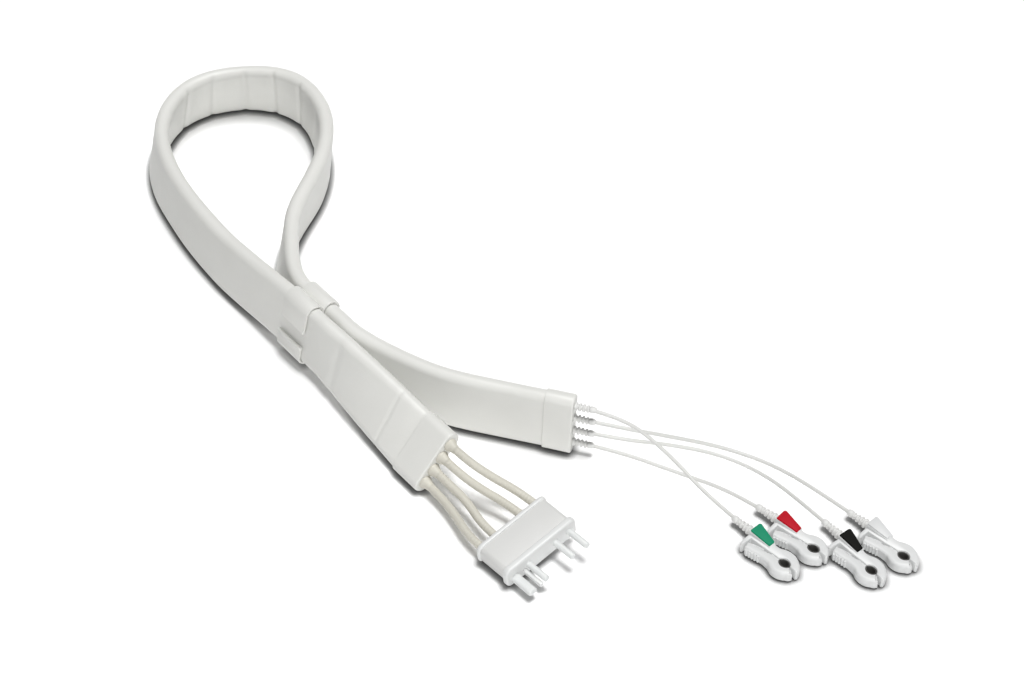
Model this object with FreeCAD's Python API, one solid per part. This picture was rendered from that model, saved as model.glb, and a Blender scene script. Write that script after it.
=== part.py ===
import FreeCAD, Part
import math
import os

# ECG lead set: a padded flat ribbon of four cables, looped through a sliding keeper, with a
# pinned plug at one end and four pinch clips on thin leads at the other. Sizes are millimetres.
# The set lies on a table: X runs to the right, Y away from the viewer, Z up from the table.
# The origin is the middle of the footprint.

Vec = FreeCAD.Vector
UP = Vec(0, 0, 1)

# Ribbon: a soft sleeve that stands on its edge, with four cables side by side in its lumen
RIBBON_WIDTH = 39.0
RIBBON_THICK = 9.5
CABLE_D = 5.0
CABLE_PITCH = 8.8
CABLE_RANKS = (1.5, 0.5, -0.5, -1.5)
LUMEN_GAP = 0.3
TURN_STEP = 13.0
LONGEST_STEP = 40.0
ROUND_CHORDS = 6

# Keeper: a double channel that slides along the two strands where they run side by side
KEEPER_LENGTH = 23.0
KEEPER_WALL = 1.5
KEEPER_WEB = 1.8
KEEPER_GAP = 0.4
KEEPER_WINDOW = 9.8
KEEPER_WINDOW_DROP = 2.8
KEEPER_TRAVEL = 12.0
KEEPER_MARGIN = 2.0
KEEPER_LEAN = 15.0
KEEPER_HEADING = -51.0
KEEPER_PLACE = Vec(-122.9, -22.5, 0)
LIP_ROUND = 0.5

# End caps: moulded cups over the two ends of the ribbon
CAP_WALL = 0.8
CAP_GAP = 0.1
CAP_END = 2.0
CAP_SEAT = 0.3
CAP_ROUND = 0.7
CAP_RUN_IN = 2.0
PLUG_CAP_LENGTH = 22.0
LEAD_CAP_LENGTH = 17.5
PLUG_TAIL = 135.0
PLUG_CAP_LEAN = 45.0
LEAD_CAP_PLACE = Vec(41.0, -100.5, 0)
LEAD_CAP_HEADING = -16.5
LEAD_CAP_LEAN = 8.0

# Route of the ribbon's middle line on the table: place and lean in degrees, towards the right of travel
LOOP_ROUTE = (
    (-174.0, 40.5, 13.0),
    (-209.0, 95.5, 10.0),
    (-226.0, 156.5, 13.0),
    (-211.0, 194.5, 11.0),
    (-173.0, 209.5, 10.0),
    (-141.0, 200.5, 1.0),
    (-119.0, 158.5, -8.0),
    (-122.0, 109.5, -6.0),
    (-134.0, 68.5, -10.0),
    (-135.0, 40.5, -13.0),
)
LEAD_TAIL_ROUTE = (
    (-72.5, -55.5, -11.0),
    (-37.0, -76.0, -9.0),
    (5.0, -89.5, -8.0),
)

# Plug: hollow housing, front plate with a key, three round contacts and one flat contact. It rests on
# one edge of the plate, and the cables hold its other side up by the roll.
PLUG_PLACE = Vec(4.6, -169.7, 0)
PLUG_HEADING = -47.0
PLUG_ROLL = 6.0
PLUG_WIDTH = 50.5
PLUG_HEIGHT = 11.5
PLUG_DEPTH = 22.0
PLUG_WALL = 2.0
PLUG_REAR_WALL = 2.5
PLUG_CORNER = 3.0
PLUG_BEVEL = 1.8
PLATE_THICK = 4.0
PLATE_PROUD = 1.4
PLATE_SPIGOT = 4.0
PLATE_CORNER = 3.6
PLATE_ROUND = 0.8
PIN_EDGE = 4.25
PIN_PITCH = 10.75
PIN_D = 4.0
PIN_LENGTH = 15.0
PIN_CHAMFER = 0.6
BARREL_D = 4.4
BLADE_WIDTH = 6.8
BLADE_THICK = 3.4
BLADE_ROUND = 1.2
BLADE_DROP = 1.6
KEY_WIDTH = 2.6
KEY_HEIGHT = 2.6
KEY_LENGTH = 14.0
KEY_OFFSET = 4.0
CABLE_GRIP = 4.0
FIT_GAP = 0.1

# Grommets round the cables at the plug-side cap
GROMMET_D = 8.2
GROMMET_TIP_D = 6.4
GROMMET_NECK_D = 6.6
GROMMET_FLANGE = 1.2
GROMMET_LENGTH = 4.0

# Leads and their ribbed boots
LEAD_D = 2.2
CORD_SIDES = 6
RING_SIDES = 12
CURVE_CHORDS = 5
MERGE = 0.01
CORNER_SHARE = 0.45
BOOT_RIBS = 3
BOOT_RIB_PITCH = 2.4
BOOT_RIB_D = 4.4
BOOT_NECK_D = 3.2
BOOT_FLANGE = 1.4
BOOT_COLLAR = 4.2
BOOT_TIP_D = 3.0
CLIP_BOOT_RIBS = 4
CLIP_BOOT_RIB_PITCH = 2.6
CLIP_BOOT_ROOT_D = 6.0
CLIP_BOOT_TIP_D = 4.4
CLIP_BOOT_NECK_DROP = 1.3
CLIP_BOOT_COLLAR = 4.0
CLIP_BOOT_FLANGE = 1.6
EXIT_RUN = 29.0
CLIP_RUN = 31.0
CABLE_EXIT_RUN = 14.0
CABLE_PLUG_RUN = 18.0

# Pinch clip: a fixed jaw with a wedge for the thumb, and a lever jaw that turns on a pin
CLIP_THICK = 8.0
CLIP_LENGTH = 36.8
BACK_HALF = 9.0
BACK_CORNER = 1.4
NECK_X = 15.0
NECK_RUN = 5.5
NECK_HALF = 5.4
NECK_SIDE = 6.1
WEDGE_TIP_Y = 5.8
HEAD_HALF = 7.6
HEAD_SIDE = 4.9
HEAD_REACH = 5.5
HOLE_X = 28.0
MOUTH_Y = -1.2
MOUTH_GAP = 0.8
STUD_R = 2.0
CONTACT_WALL = 0.65
CONTACT_INSET = 1.0
PIVOT_X = 19.0
PIVOT_Y = -0.8
PIVOT_PIN_R = 1.0
PIVOT_RUN_GAP = 0.05
PIN_END_GAP = 0.2
KNUCKLE_R = 3.0
KNUCKLE_GAP = 0.4
KNUCKLE_SIDES = 16
CHEEK = 2.3
LEVER_BACK_X = 3.2
LEVER_LIFT = 0.3
LEVER_BACK_Y = -6.9
LEVER_NECK_Y = -5.3
LEVER_CORNER = 0.9
LEVER_REST_GAP = 3.0
LEVER_NECK_GAP = 1.1
SLIT_Y = -1.7
SHOULDER_X = 2.2
JAW_SETBACK = 2.5
GRIP_RIBS = 5
GRIP_RIB_R = 0.55
GRIP_RIB_PITCH = 1.7
GRIP_RIB_INSET = 1.3
WEDGE_RISE = 3.6
WEDGE_TOE = 0.4
WEDGE_INNER_Y = 1.2
TAB_INSET = 0.5
TAB_THICK = 1.5
TAB_SUNK = 0.6
BOOT_Y = 3.9
BOOT_Z = 4.2
SPRING_THICK = 0.5
SPRING_HEIGHT = 3.6
SPRING_ROOT_X = 12.6
SPRING_FOOT = 1.2
SPRING_TIP_X = 5.2
SPRING_BOW = 0.25
SPRING_CLEAR = 0.2

# Clips on the table: colour, place of the boot's tip, heading and the lead's points on the way
LEADS = (
    ("green", Vec(130.8, -158.3, 0), -47.0, (Vec(92.0, -117.5, 18.5),)),
    ("white", Vec(196.7, -153.8, 0), -45.0,
     (Vec(98.0, -104.0, 13.0), Vec(130.0, -104.0, 3.6), Vec(160.0, -117.0, 1.2))),
    ("black", Vec(181.9, -161.0, 0), -52.0,
     (Vec(96.0, -103.5, 6.0), Vec(126.0, -107.0, 1.4), Vec(152.0, -123.0, 1.2))),
    ("red", Vec(144.9, -149.9, 0), -42.0, (Vec(99.0, -120.5, 1.2),)),
)
# Middle points of the four cables between the plug-side cap and the plug
CABLE_MIDDLES = (
    Vec(-8.0, -139.5, 19.0),
    Vec(-14.0, -144.5, 14.0),
    Vec(-21.0, -151.0, 10.5),
    Vec(-28.0, -157.5, 6.8),
)

# Sizes worked out from the driving dimensions
RIBBON_R = RIBBON_THICK / 2
RIBBON_HALF = RIBBON_WIDTH / 2 - RIBBON_R
LUMEN_HALF_THICK = CABLE_D / 2 + LUMEN_GAP
LUMEN_HALF_WIDTH = CABLE_RANKS[0] * CABLE_PITCH + CABLE_D / 2 + LUMEN_GAP
CHANNEL_R = RIBBON_R + KEEPER_GAP
KEEPER_R = CHANNEL_R + KEEPER_WALL
STRAND_PITCH = 2 * CHANNEL_R + KEEPER_WEB
CAP_HOLLOW_R = RIBBON_R + CAP_GAP
CAP_R = CAP_HOLLOW_R + CAP_WALL
CAP_LIFT = CAP_GAP + CAP_WALL
REAR_LIFT = KEEPER_GAP + KEEPER_WALL
FRONT_LIFT = REAR_LIFT + STRAND_PITCH * math.sin(math.radians(KEEPER_LEAN))
BOOT_LENGTH = BOOT_FLANGE + BOOT_RIBS * BOOT_RIB_PITCH + BOOT_COLLAR
CLIP_BOOT_LENGTH = CLIP_BOOT_FLANGE + CLIP_BOOT_RIBS * CLIP_BOOT_RIB_PITCH + CLIP_BOOT_COLLAR
LEAD_BORE_R = LEAD_D / 2 + FIT_GAP
CABLE_BORE_R = CABLE_D / 2 + FIT_GAP
PLATE_WIDTH = PLUG_WIDTH + 2 * PLATE_PROUD
PLATE_HEIGHT = PLUG_HEIGHT + 2 * PLATE_PROUD
PLUG_MIDDLE = PLATE_HEIGHT / 2
PIN_OUTER = PLUG_WIDTH / 2 - PIN_EDGE
PIN_INNER = PIN_OUTER - PIN_PITCH
CONTACT_ROWS = (PIN_OUTER, PIN_INNER, -PIN_INNER, -PIN_OUTER)
CABLE_STOP = PLUG_REAR_WALL + CABLE_GRIP
JAW_HOLE_R = STUD_R + CONTACT_WALL


def heading(degrees):
    """Unit vector on the table at an angle from +X."""
    return Vec(math.cos(math.radians(degrees)), math.sin(math.radians(degrees)), 0)


def unit(vector):
    """The vector at length one."""
    return vector / vector.Length


def placed(shape, origin, along, upward=UP):
    """A copy of the shape with its local X along one direction, its local Z upward, at an origin."""
    across = upward.cross(along)
    matrix = FreeCAD.Matrix(
        along.x, across.x, upward.x, origin.x,
        along.y, across.y, upward.y, origin.y,
        along.z, across.z, upward.z, origin.z,
        0, 0, 0, 1)
    moved = shape.copy()
    moved.Placement = FreeCAD.Placement(matrix).multiply(shape.Placement)
    return moved


def line(start, end):
    """Straight edge between two places."""
    return Part.LineSegment(start, end).toShape()


def arc(start, middle, end):
    """Round edge through three places."""
    return Part.Arc(start, middle, end).toShape()


def curve(start, middle, end):
    """Places along a round curve through three places, ready for a closed outline."""
    return Part.Arc(start, middle, end).toShape().discretize(Number=CURVE_CHORDS + 1)


def closed(places):
    """Closed wire of straight edges through the places, leaving out repeats."""
    corners = [places[0]]
    for place in places[1:]:
        if place.distanceToPoint(corners[-1]) > MERGE:
            corners.append(place)
    return Part.makePolygon(corners + corners[:1])


def cylinder(radius, start, axis):
    """Round bar from a place along a vector."""
    return Part.makeCylinder(radius, axis.Length, start, axis)


def ring_bar(radius, start, length):
    """Bar along local X from a place, with the same flats as a ring."""
    corners = [start + around(side) * radius for side in range(RING_SIDES)]
    return prism(Part.makePolygon(corners + corners[:1]), Vec(length, 0, 0))


def prism(wire, vector):
    """Solid swept straight from a flat closed wire."""
    return Part.Face(wire).extrude(vector)


def turned(profile):
    """Solid turned about local X from a closed list of (x, radius) corners."""
    corners = [Vec(x, 0, radius) for x, radius in profile]
    face = Part.Face(Part.makePolygon(corners + corners[:1]))
    return face.revolve(Vec(0, 0, 0), Vec(1, 0, 0), 360)


def faceted(profile):
    """Ring about local X from a closed list of (x, radius) corners, with flats all round."""
    faces = []
    for (x_a, r_a), (x_b, r_b) in zip(profile, profile[1:] + profile[:1]):
        for side in range(RING_SIDES):
            near, far = around(side), around(side + 1)
            quad = [Vec(x_a, 0, 0) + near * r_a, Vec(x_b, 0, 0) + near * r_b,
                    Vec(x_b, 0, 0) + far * r_b, Vec(x_a, 0, 0) + far * r_a]
            faces.append(Part.Face(Part.makePolygon(quad + quad[:1])))
    return closed_solid(faces)


def around(side):
    """Unit vector across local X at one corner of a ring with flats."""
    angle = 2 * math.pi * (side + 0.5) / RING_SIDES
    return Vec(0, math.cos(angle), math.sin(angle))


def stadium(half, radius, place):
    """Closed wire with straight sides and round ends; place maps (thick, width) to a point."""
    corners = []
    for end in (1, -1):
        for step in range(ROUND_CHORDS + 1):
            angle = math.pi * step / ROUND_CHORDS
            corners.append(place(end * radius * math.cos(angle), end * (half + radius * math.sin(angle))))
    return Part.makePolygon(corners + corners[:1])


def upright(x, y=0.0):
    """Map from (thick, width) to the local plane across X, beside the axis by y."""
    return lambda thick, width: Vec(x, y + thick, width)


class Station:
    """One cross-section of the ribbon: its middle, and the directions of its width and thickness."""

    def __init__(self, x, y, along, lean, lift):
        angle = math.radians(lean)
        side = Vec(along.y, -along.x, 0)
        self.along = along
        self.width = UP * math.cos(angle) + side * math.sin(angle)
        self.thick = side * math.cos(angle) - UP * math.sin(angle)
        self.place = Vec(x, y, lift + RIBBON_R + RIBBON_HALF * math.cos(angle))

    def point(self, thick, width):
        """Place at an offset across the ribbon."""
        return self.place + self.thick * thick + self.width * width

    def exit(self, rank):
        """Middle of one of the cables."""
        return self.point(0, rank * CABLE_PITCH)


def straight_stations(start, end, lean, lift):
    """Stations at the two ends of a straight stretch; lean and lift are (first, last) pairs."""
    along = unit(end - start)
    steps = max(1, math.ceil(abs(lean[1] - lean[0]) / TURN_STEP))
    shares = [step / steps for step in range(steps + 1)]
    stations = []
    for share in shares:
        place = start + (end - start) * share
        stations.append(Station(place.x, place.y, along, mix(lean, share), mix(lift, share)))
    return stations


def mix(pair, share):
    """Value between two ends."""
    return pair[0] + (pair[1] - pair[0]) * share


def curved_stations(knots, first_along, last_along):
    """Stations along a smooth curve through (place, lean, lift) knots, closer where it turns more."""
    places = [place for place, lean, lift in knots]
    runs = [(b - a).Length for a, b in zip(places, places[1:])]
    marks = [sum(runs[:count]) for count in range(len(places))]
    route = Part.BSplineCurve()
    route.interpolate(Points=places, Parameters=marks, InitialTangent=first_along, FinalTangent=last_along)
    samples = int(marks[-1])
    stations = []
    last_tangent, last_mark = None, None
    for sample in range(samples + 1):
        mark = marks[-1] * sample / samples
        tangent = unit(route.tangent(mark)[0])
        ends = sample in (0, samples)
        if not ends:
            turned_by = math.degrees(tangent.getAngle(last_tangent))
            near_end = marks[-1] - mark < RIBBON_THICK
            if near_end or (turned_by < TURN_STEP and mark - last_mark < LONGEST_STEP):
                continue
        span = max(index for index in range(len(runs)) if marks[index] <= mark + MERGE)
        share = (mark - marks[span]) / runs[span]
        lean = mix((knots[span][1], knots[span + 1][1]), share)
        lift = mix((knots[span][2], knots[span + 1][2]), share)
        place = route.value(mark)
        stations.append(Station(place.x, place.y, tangent, lean, lift))
        last_tangent, last_mark = tangent, mark
    return stations


def ribbon_stations():
    """Every cross-section of the ribbon, from the plug-side end round the loop to the lead-side end."""
    caps = heading(KEEPER_HEADING)
    rearward = Vec(-caps.y, caps.x, 0)
    rear_shift = rearward * (STRAND_PITCH * math.cos(math.radians(KEEPER_LEAN)))
    loop_end = -(KEEPER_LENGTH / 2 + KEEPER_MARGIN)
    cap_end = KEEPER_LENGTH / 2 + KEEPER_TRAVEL + KEEPER_MARGIN
    ribbon_stop = PLUG_TAIL - CAP_END - CAP_SEAT
    cap_mouth = PLUG_TAIL - PLUG_CAP_LENGTH - CAP_RUN_IN

    def front(distance):
        return KEEPER_PLACE + caps * distance

    def rear(distance):
        return KEEPER_PLACE + rear_shift + caps * distance

    lead_along = heading(LEAD_CAP_HEADING)
    lead_mouth = LEAD_CAP_PLACE - lead_along * (LEAD_CAP_LENGTH + CAP_RUN_IN)
    lead_stop = LEAD_CAP_PLACE - lead_along * (CAP_END + CAP_SEAT)
    held = (PLUG_CAP_LEAN, PLUG_CAP_LEAN)
    keeper = (KEEPER_LEAN, KEEPER_LEAN)
    stations = straight_stations(front(ribbon_stop), front(cap_mouth), held, (CAP_LIFT, CAP_LIFT))
    stations += straight_stations(
        front(cap_mouth), front(cap_end), (PLUG_CAP_LEAN, KEEPER_LEAN), (CAP_LIFT, FRONT_LIFT))[1:]
    stations += straight_stations(front(cap_end), front(loop_end), keeper, (FRONT_LIFT, FRONT_LIFT))[1:]
    knots = [(front(loop_end), KEEPER_LEAN, FRONT_LIFT)]
    knots += [(Vec(x, y, 0), lean, 0.0) for x, y, lean in LOOP_ROUTE]
    knots += [(rear(loop_end), -KEEPER_LEAN, REAR_LIFT)]
    stations += curved_stations(knots, -caps, caps)[1:]
    keeper = (-KEEPER_LEAN, -KEEPER_LEAN)
    stations += straight_stations(rear(loop_end), rear(cap_end), keeper, (REAR_LIFT, REAR_LIFT))[1:]
    knots = [(rear(cap_end), -KEEPER_LEAN, REAR_LIFT)]
    knots += [(Vec(x, y, 0), lean, 0.0) for x, y, lean in LEAD_TAIL_ROUTE]
    knots += [(lead_mouth, -LEAD_CAP_LEAN, CAP_LIFT)]
    stations += curved_stations(knots, caps, lead_along)[1:]
    held = (-LEAD_CAP_LEAN, -LEAD_CAP_LEAN)
    stations += straight_stations(lead_mouth, lead_stop, held, (CAP_LIFT, CAP_LIFT))[1:]
    return stations


def closed_solid(faces):
    """Solid from faces that share their edges all round."""
    shell = Part.makeShell(faces)
    shell.sewShape()
    solid = Part.makeSolid(shell)
    if solid.Volume < 0:
        solid.reverse()
    return solid


def ribbon_sleeve(stations):
    """The padded sleeve: round-edged outside, flat lumen inside, open at both ends."""
    def lumen(station):
        corners = ((1, -1), (1, 1), (-1, 1), (-1, -1), (1, -1))
        return Part.makePolygon(
            [station.point(a * LUMEN_HALF_THICK, b * LUMEN_HALF_WIDTH) for a, b in corners])

    outside = [stadium(RIBBON_HALF, RIBBON_R, station.point) for station in stations]
    inside = [lumen(station) for station in stations]
    faces = Part.makeLoft(outside, False, True).Faces + Part.makeLoft(inside, False, True).Faces
    for end in (0, -1):
        faces.append(Part.makeFace([outside[end], inside[end]], "Part::FaceMakerBullseye"))
    return closed_solid(faces)


def ribbon_cable(stations, rank):
    """One cable inside the lumen, with flat sides."""
    sections = []
    for station in stations:
        middle = station.exit(rank)
        sections.append(polygon_ring(middle, station.thick, station.width, CABLE_D / 2, CORD_SIDES))
    return Part.makeLoft(sections, True, True)


def polygon_ring(middle, across, upward, radius, sides):
    """Closed wire of equal flat sides round a place."""
    corners = []
    for side in range(sides):
        angle = 2 * math.pi * (side + 0.5) / sides
        corners.append(middle + across * (radius * math.cos(angle)) + upward * (radius * math.sin(angle)))
    return Part.makePolygon(corners + corners[:1])


def cord(name, points, diameter):
    """Tube along straight runs joined by tangent arcs, each as large as its two runs allow."""
    edges = []
    radii = []
    start = points[0]
    for before, corner, after in zip(points, points[1:], points[2:]):
        run_in = unit(corner - before)
        run_out = unit(after - corner)
        half_turn = run_in.getAngle(run_out) / 2
        trim = CORNER_SHARE * min((corner - before).Length, (after - corner).Length)
        radius = trim / math.tan(half_turn)
        inward = unit(run_out - run_in) * (radius / math.cos(half_turn) - radius)
        edges.append(line(start, corner - run_in * trim))
        edges.append(arc(corner - run_in * trim, corner + inward, corner + run_out * trim))
        start = corner + run_out * trim
        radii.append(round(radius, 1))
    edges.append(line(start, points[-1]))
    path = Part.Wire(edges)
    first = unit(points[1] - points[0])
    across = unit(UP.cross(first))
    profile = polygon_ring(points[0], across, first.cross(across), diameter / 2, CORD_SIDES)
    tube = path.makePipeShell([profile], True, False)
    section = CORD_SIDES / 2 * (diameter / 2) ** 2 * math.sin(2 * math.pi / CORD_SIDES)
    print(name, "length", round(path.Length, 1), "radii", radii,
          "volume over section times length", round(tube.Volume / (section * path.Length), 4))
    return tube


def cap(length, hole_r):
    """Cup over the ribbon's end; its closed end is at local x = 0 and it opens towards -X."""
    body = prism(stadium(RIBBON_HALF, CAP_R, upright(-length)), Vec(length, 0, 0))
    rim = [edge for edge in body.Edges if edge.BoundBox.XMin > -CAP_WALL]
    body = body.makeChamfer(CAP_ROUND, rim)
    hollow = prism(stadium(RIBBON_HALF, CAP_HOLLOW_R, upright(-length)), Vec(length - CAP_END, 0, 0))
    holes = [ring_bar(hole_r, Vec(-length, 0, rank * CABLE_PITCH), 2 * length) for rank in CABLE_RANKS]
    return body.cut(hollow).cut(Part.makeCompound(holes))


def runs_at(edge, corners):
    """Whether an edge runs along X through one of the (y, z) corners."""
    middle = edge.CenterOfMass
    along_x = edge.BoundBox.XLength > KEEPER_LENGTH / 2
    return along_x and any(math.hypot(middle.y - y, middle.z - z) < FIT_GAP for y, z in corners)


def keeper():
    """Double channel with rounded humps; the front and rear walls are slotted so a strand can be pressed in."""
    start = -KEEPER_LENGTH / 2
    run = Vec(KEEPER_LENGTH, 0, 0)
    rows = (0.0, STRAND_PITCH)
    shells = [prism(stadium(RIBBON_HALF, KEEPER_R, upright(start, row)), run) for row in rows]
    channels = [prism(stadium(RIBBON_HALF, CHANNEL_R, upright(start, row)), run) for row in rows]
    floor = -KEEPER_WINDOW / 2 - KEEPER_WINDOW_DROP
    front_window = Part.makeBox(KEEPER_LENGTH, KEEPER_R, KEEPER_WINDOW, Vec(start, -KEEPER_R, floor))
    rear_window = front_window.translated(Vec(0, STRAND_PITCH + KEEPER_R, 0))
    body = shells[0].fuse(shells[1])
    for tool in channels + [front_window, rear_window]:
        body = body.cut(tool)
    corners = [(side, height) for side in (-KEEPER_R, STRAND_PITCH + KEEPER_R)
               for height in (floor, floor + KEEPER_WINDOW)]
    lips = [edge for edge in body.Edges if runs_at(edge, corners)]
    return body.makeFillet(LIP_ROUND, lips)


def grommet():
    """Flared collar on the cap's end face, with a spigot through the wall and a bore for the cable."""
    return faceted([
        (-CAP_END, CABLE_BORE_R),
        (-CAP_END, GROMMET_NECK_D / 2),
        (0, GROMMET_NECK_D / 2),
        (0, GROMMET_D / 2),
        (GROMMET_FLANGE, GROMMET_D / 2),
        (GROMMET_LENGTH, GROMMET_TIP_D / 2),
        (GROMMET_LENGTH, CABLE_BORE_R),
    ])


def exit_boot():
    """Ribbed boot where a lead leaves the cap, with a spigot through the cap's wall."""
    rib, neck = BOOT_RIB_D / 2, BOOT_NECK_D / 2
    profile = [(-CAP_END, LEAD_BORE_R), (-CAP_END, neck), (0, neck), (0, rib), (BOOT_FLANGE, rib)]
    for count in range(BOOT_RIBS):
        start = BOOT_FLANGE + count * BOOT_RIB_PITCH
        profile += [(start + BOOT_RIB_PITCH / 2, neck), (start + BOOT_RIB_PITCH, rib)]
    profile += [(BOOT_LENGTH - BOOT_COLLAR / 2, neck), (BOOT_LENGTH, BOOT_TIP_D / 2), (BOOT_LENGTH, LEAD_BORE_R)]
    return faceted(profile)


def clip_boot():
    """Ribbed boot behind a clip, thicker towards the clip; its root is at local x = 0."""
    root, neck_drop = CLIP_BOOT_ROOT_D / 2, CLIP_BOOT_NECK_DROP / 2
    profile = [(0, LEAD_BORE_R), (0, root), (-CLIP_BOOT_FLANGE, root)]
    for count in range(CLIP_BOOT_RIBS):
        start = CLIP_BOOT_FLANGE + count * CLIP_BOOT_RIB_PITCH
        rib = mix((CLIP_BOOT_ROOT_D, CLIP_BOOT_TIP_D), (count + 1) / CLIP_BOOT_RIBS) / 2
        profile += [(-start - CLIP_BOOT_RIB_PITCH / 2, rib - neck_drop), (-start - CLIP_BOOT_RIB_PITCH, rib)]
    profile += [(CLIP_BOOT_COLLAR / 2 - CLIP_BOOT_LENGTH, rib - neck_drop)]
    profile += [(-CLIP_BOOT_LENGTH, BOOT_TIP_D / 2), (-CLIP_BOOT_LENGTH, LEAD_BORE_R)]
    return faceted(profile)


def rounded_block(x, width, height, length, corner, middle):
    """Block along X from x, centred on Y and at a height, with round corners across X."""
    block = Part.makeBox(length, width, height, Vec(x, -width / 2, middle - height / 2))
    edges = [edge for edge in block.Edges if edge.BoundBox.XLength > length / 2]
    return block.makeFillet(corner, edges)


def plug_housing():
    """Hollow shell, open at the front, with bevelled rear edges and four cable holes."""
    body = rounded_block(0, PLUG_WIDTH, PLUG_HEIGHT, PLUG_DEPTH, PLUG_CORNER, PLUG_MIDDLE)
    rear = [edge for edge in body.Edges if edge.BoundBox.XMax < PLUG_BEVEL / 2]
    body = body.makeChamfer(PLUG_BEVEL, rear)
    width = PLUG_WIDTH - 2 * PLUG_WALL
    height = PLUG_HEIGHT - 2 * PLUG_WALL
    hollow = rounded_block(PLUG_REAR_WALL, width, height, PLUG_DEPTH, PLUG_CORNER - PLUG_WALL, PLUG_MIDDLE)
    holes = [ring_bar(CABLE_BORE_R, Vec(0, row, PLUG_MIDDLE), PLUG_DEPTH) for row in CONTACT_ROWS]
    return body.cut(hollow).cut(Part.makeCompound(holes))


def plug_plate():
    """Front plate with a spigot into the housing, contact holes and a polarising key."""
    plate = rounded_block(PLUG_DEPTH, PLATE_WIDTH, PLATE_HEIGHT, PLATE_THICK, PLATE_CORNER, PLUG_MIDDLE)
    rim = [edge for edge in plate.Edges if edge.BoundBox.XMin > PLUG_DEPTH + PLATE_THICK / 2]
    plate = plate.makeChamfer(PLATE_ROUND, rim)
    width = PLUG_WIDTH - 2 * PLUG_WALL - 2 * FIT_GAP
    height = PLUG_HEIGHT - 2 * PLUG_WALL - 2 * FIT_GAP
    spigot = rounded_block(
        PLUG_DEPTH - PLATE_SPIGOT, width, height, PLATE_SPIGOT, PLUG_CORNER - PLUG_WALL, PLUG_MIDDLE)
    front = PLUG_DEPTH + PLATE_THICK
    key_side = -PIN_OUTER + BLADE_WIDTH / 2 + KEY_OFFSET - KEY_WIDTH / 2
    key = Part.makeBox(
        KEY_LENGTH, KEY_WIDTH, KEY_HEIGHT, Vec(front, key_side, PLUG_MIDDLE - BLADE_DROP - KEY_HEIGHT))
    rear = PLUG_DEPTH - PLATE_SPIGOT
    holes = [ring_bar(BARREL_D / 2 + 2 * FIT_GAP, Vec(rear, row, PLUG_MIDDLE), PLATE_SPIGOT + PLATE_THICK)
             for row in CONTACT_ROWS]
    holes.append(placed(blade_bar(FIT_GAP), Vec(0, CONTACT_ROWS[3], PLUG_MIDDLE), Vec(1, 0, 0)))
    return plate.fuse(spigot).fuse(key).cut(Part.makeCompound(holes[:3])).cut(holes[3]).cut(holes[4])


def contact():
    """Round contact: chamfered pin in front of a thicker barrel that reaches back to its cable."""
    front = PLUG_DEPTH + PLATE_THICK
    tip = front + PIN_LENGTH
    return turned((
        (CABLE_STOP, 0),
        (CABLE_STOP, BARREL_D / 2),
        (front, BARREL_D / 2),
        (front, PIN_D / 2),
        (tip - PIN_CHAMFER, PIN_D / 2),
        (tip, PIN_D / 2 - PIN_CHAMFER),
        (tip, 0),
    ))


def blade_bar(grow=0.0):
    """The flat bar of the flat contact, set low in the plate, or the slot that it fits."""
    root = PLUG_DEPTH + FIT_GAP - grow
    length = PLATE_THICK + PIN_LENGTH
    return rounded_block(
        root, BLADE_WIDTH + 2 * grow, BLADE_THICK + 2 * grow, length, BLADE_ROUND, -BLADE_DROP)


def blade():
    """Flat contact with rounded sides and a barrel back to its cable."""
    reach = PLUG_DEPTH + BLADE_ROUND - CABLE_STOP
    return blade_bar().fuse(ring_bar(BARREL_D / 2, Vec(CABLE_STOP, 0, 0), reach))


def flat(x, y):
    """Place on the clip's underside."""
    return Vec(x, y, 0)


def clip_disc(radius, low, high):
    """Disc with flats round the clip's pivot between two heights."""
    middle = Vec(PIVOT_X, PIVOT_Y, low)
    rim = polygon_ring(middle, Vec(1, 0, 0), Vec(0, 1, 0), radius, KNUCKLE_SIDES)
    return prism(rim, Vec(0, 0, high - low))


def pivot_bar(radius, low, high):
    """Round bar on the clip's pivot between two heights."""
    return cylinder(radius, Vec(PIVOT_X, PIVOT_Y, low), Vec(0, 0, high - low))


def wedge_top(x):
    """Height of the thumb wedge's sloping top."""
    return CLIP_THICK + mix((WEDGE_RISE, WEDGE_TOE), x / NECK_X)


def wedge_plan(inset):
    """Outline of the thumb wedge in plan, drawn in by an inset."""
    back = inset
    front = NECK_X - inset
    low = WEDGE_INNER_Y + inset
    corners = (
        flat(back, low),
        flat(back, BACK_HALF - BACK_CORNER - inset),
        flat(back + BACK_CORNER, BACK_HALF - inset),
        flat(front, WEDGE_TIP_Y - inset),
        flat(front, low),
    )
    return Part.makePolygon(corners + corners[:1])


def sloped_slab(below, above):
    """Slab that follows the wedge's top, from below it to above it, wide enough for the whole wedge."""
    side = -BACK_HALF
    corners = (
        Vec(-NECK_X, side, wedge_top(-NECK_X) - below),
        Vec(2 * NECK_X, side, wedge_top(2 * NECK_X) - below),
        Vec(2 * NECK_X, side, wedge_top(2 * NECK_X) + above),
        Vec(-NECK_X, side, wedge_top(-NECK_X) + above),
    )
    return prism(Part.makePolygon(corners + corners[:1]), Vec(0, 3 * BACK_HALF, 0))


def colour_tab(grow=0.0):
    """Coloured thumb pad let into the wedge's top."""
    column = prism(wedge_plan(TAB_INSET - grow), Vec(0, 0, 4 * CLIP_THICK))
    return column.common(sloped_slab(TAB_SUNK + grow, TAB_THICK - TAB_SUNK))


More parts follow.
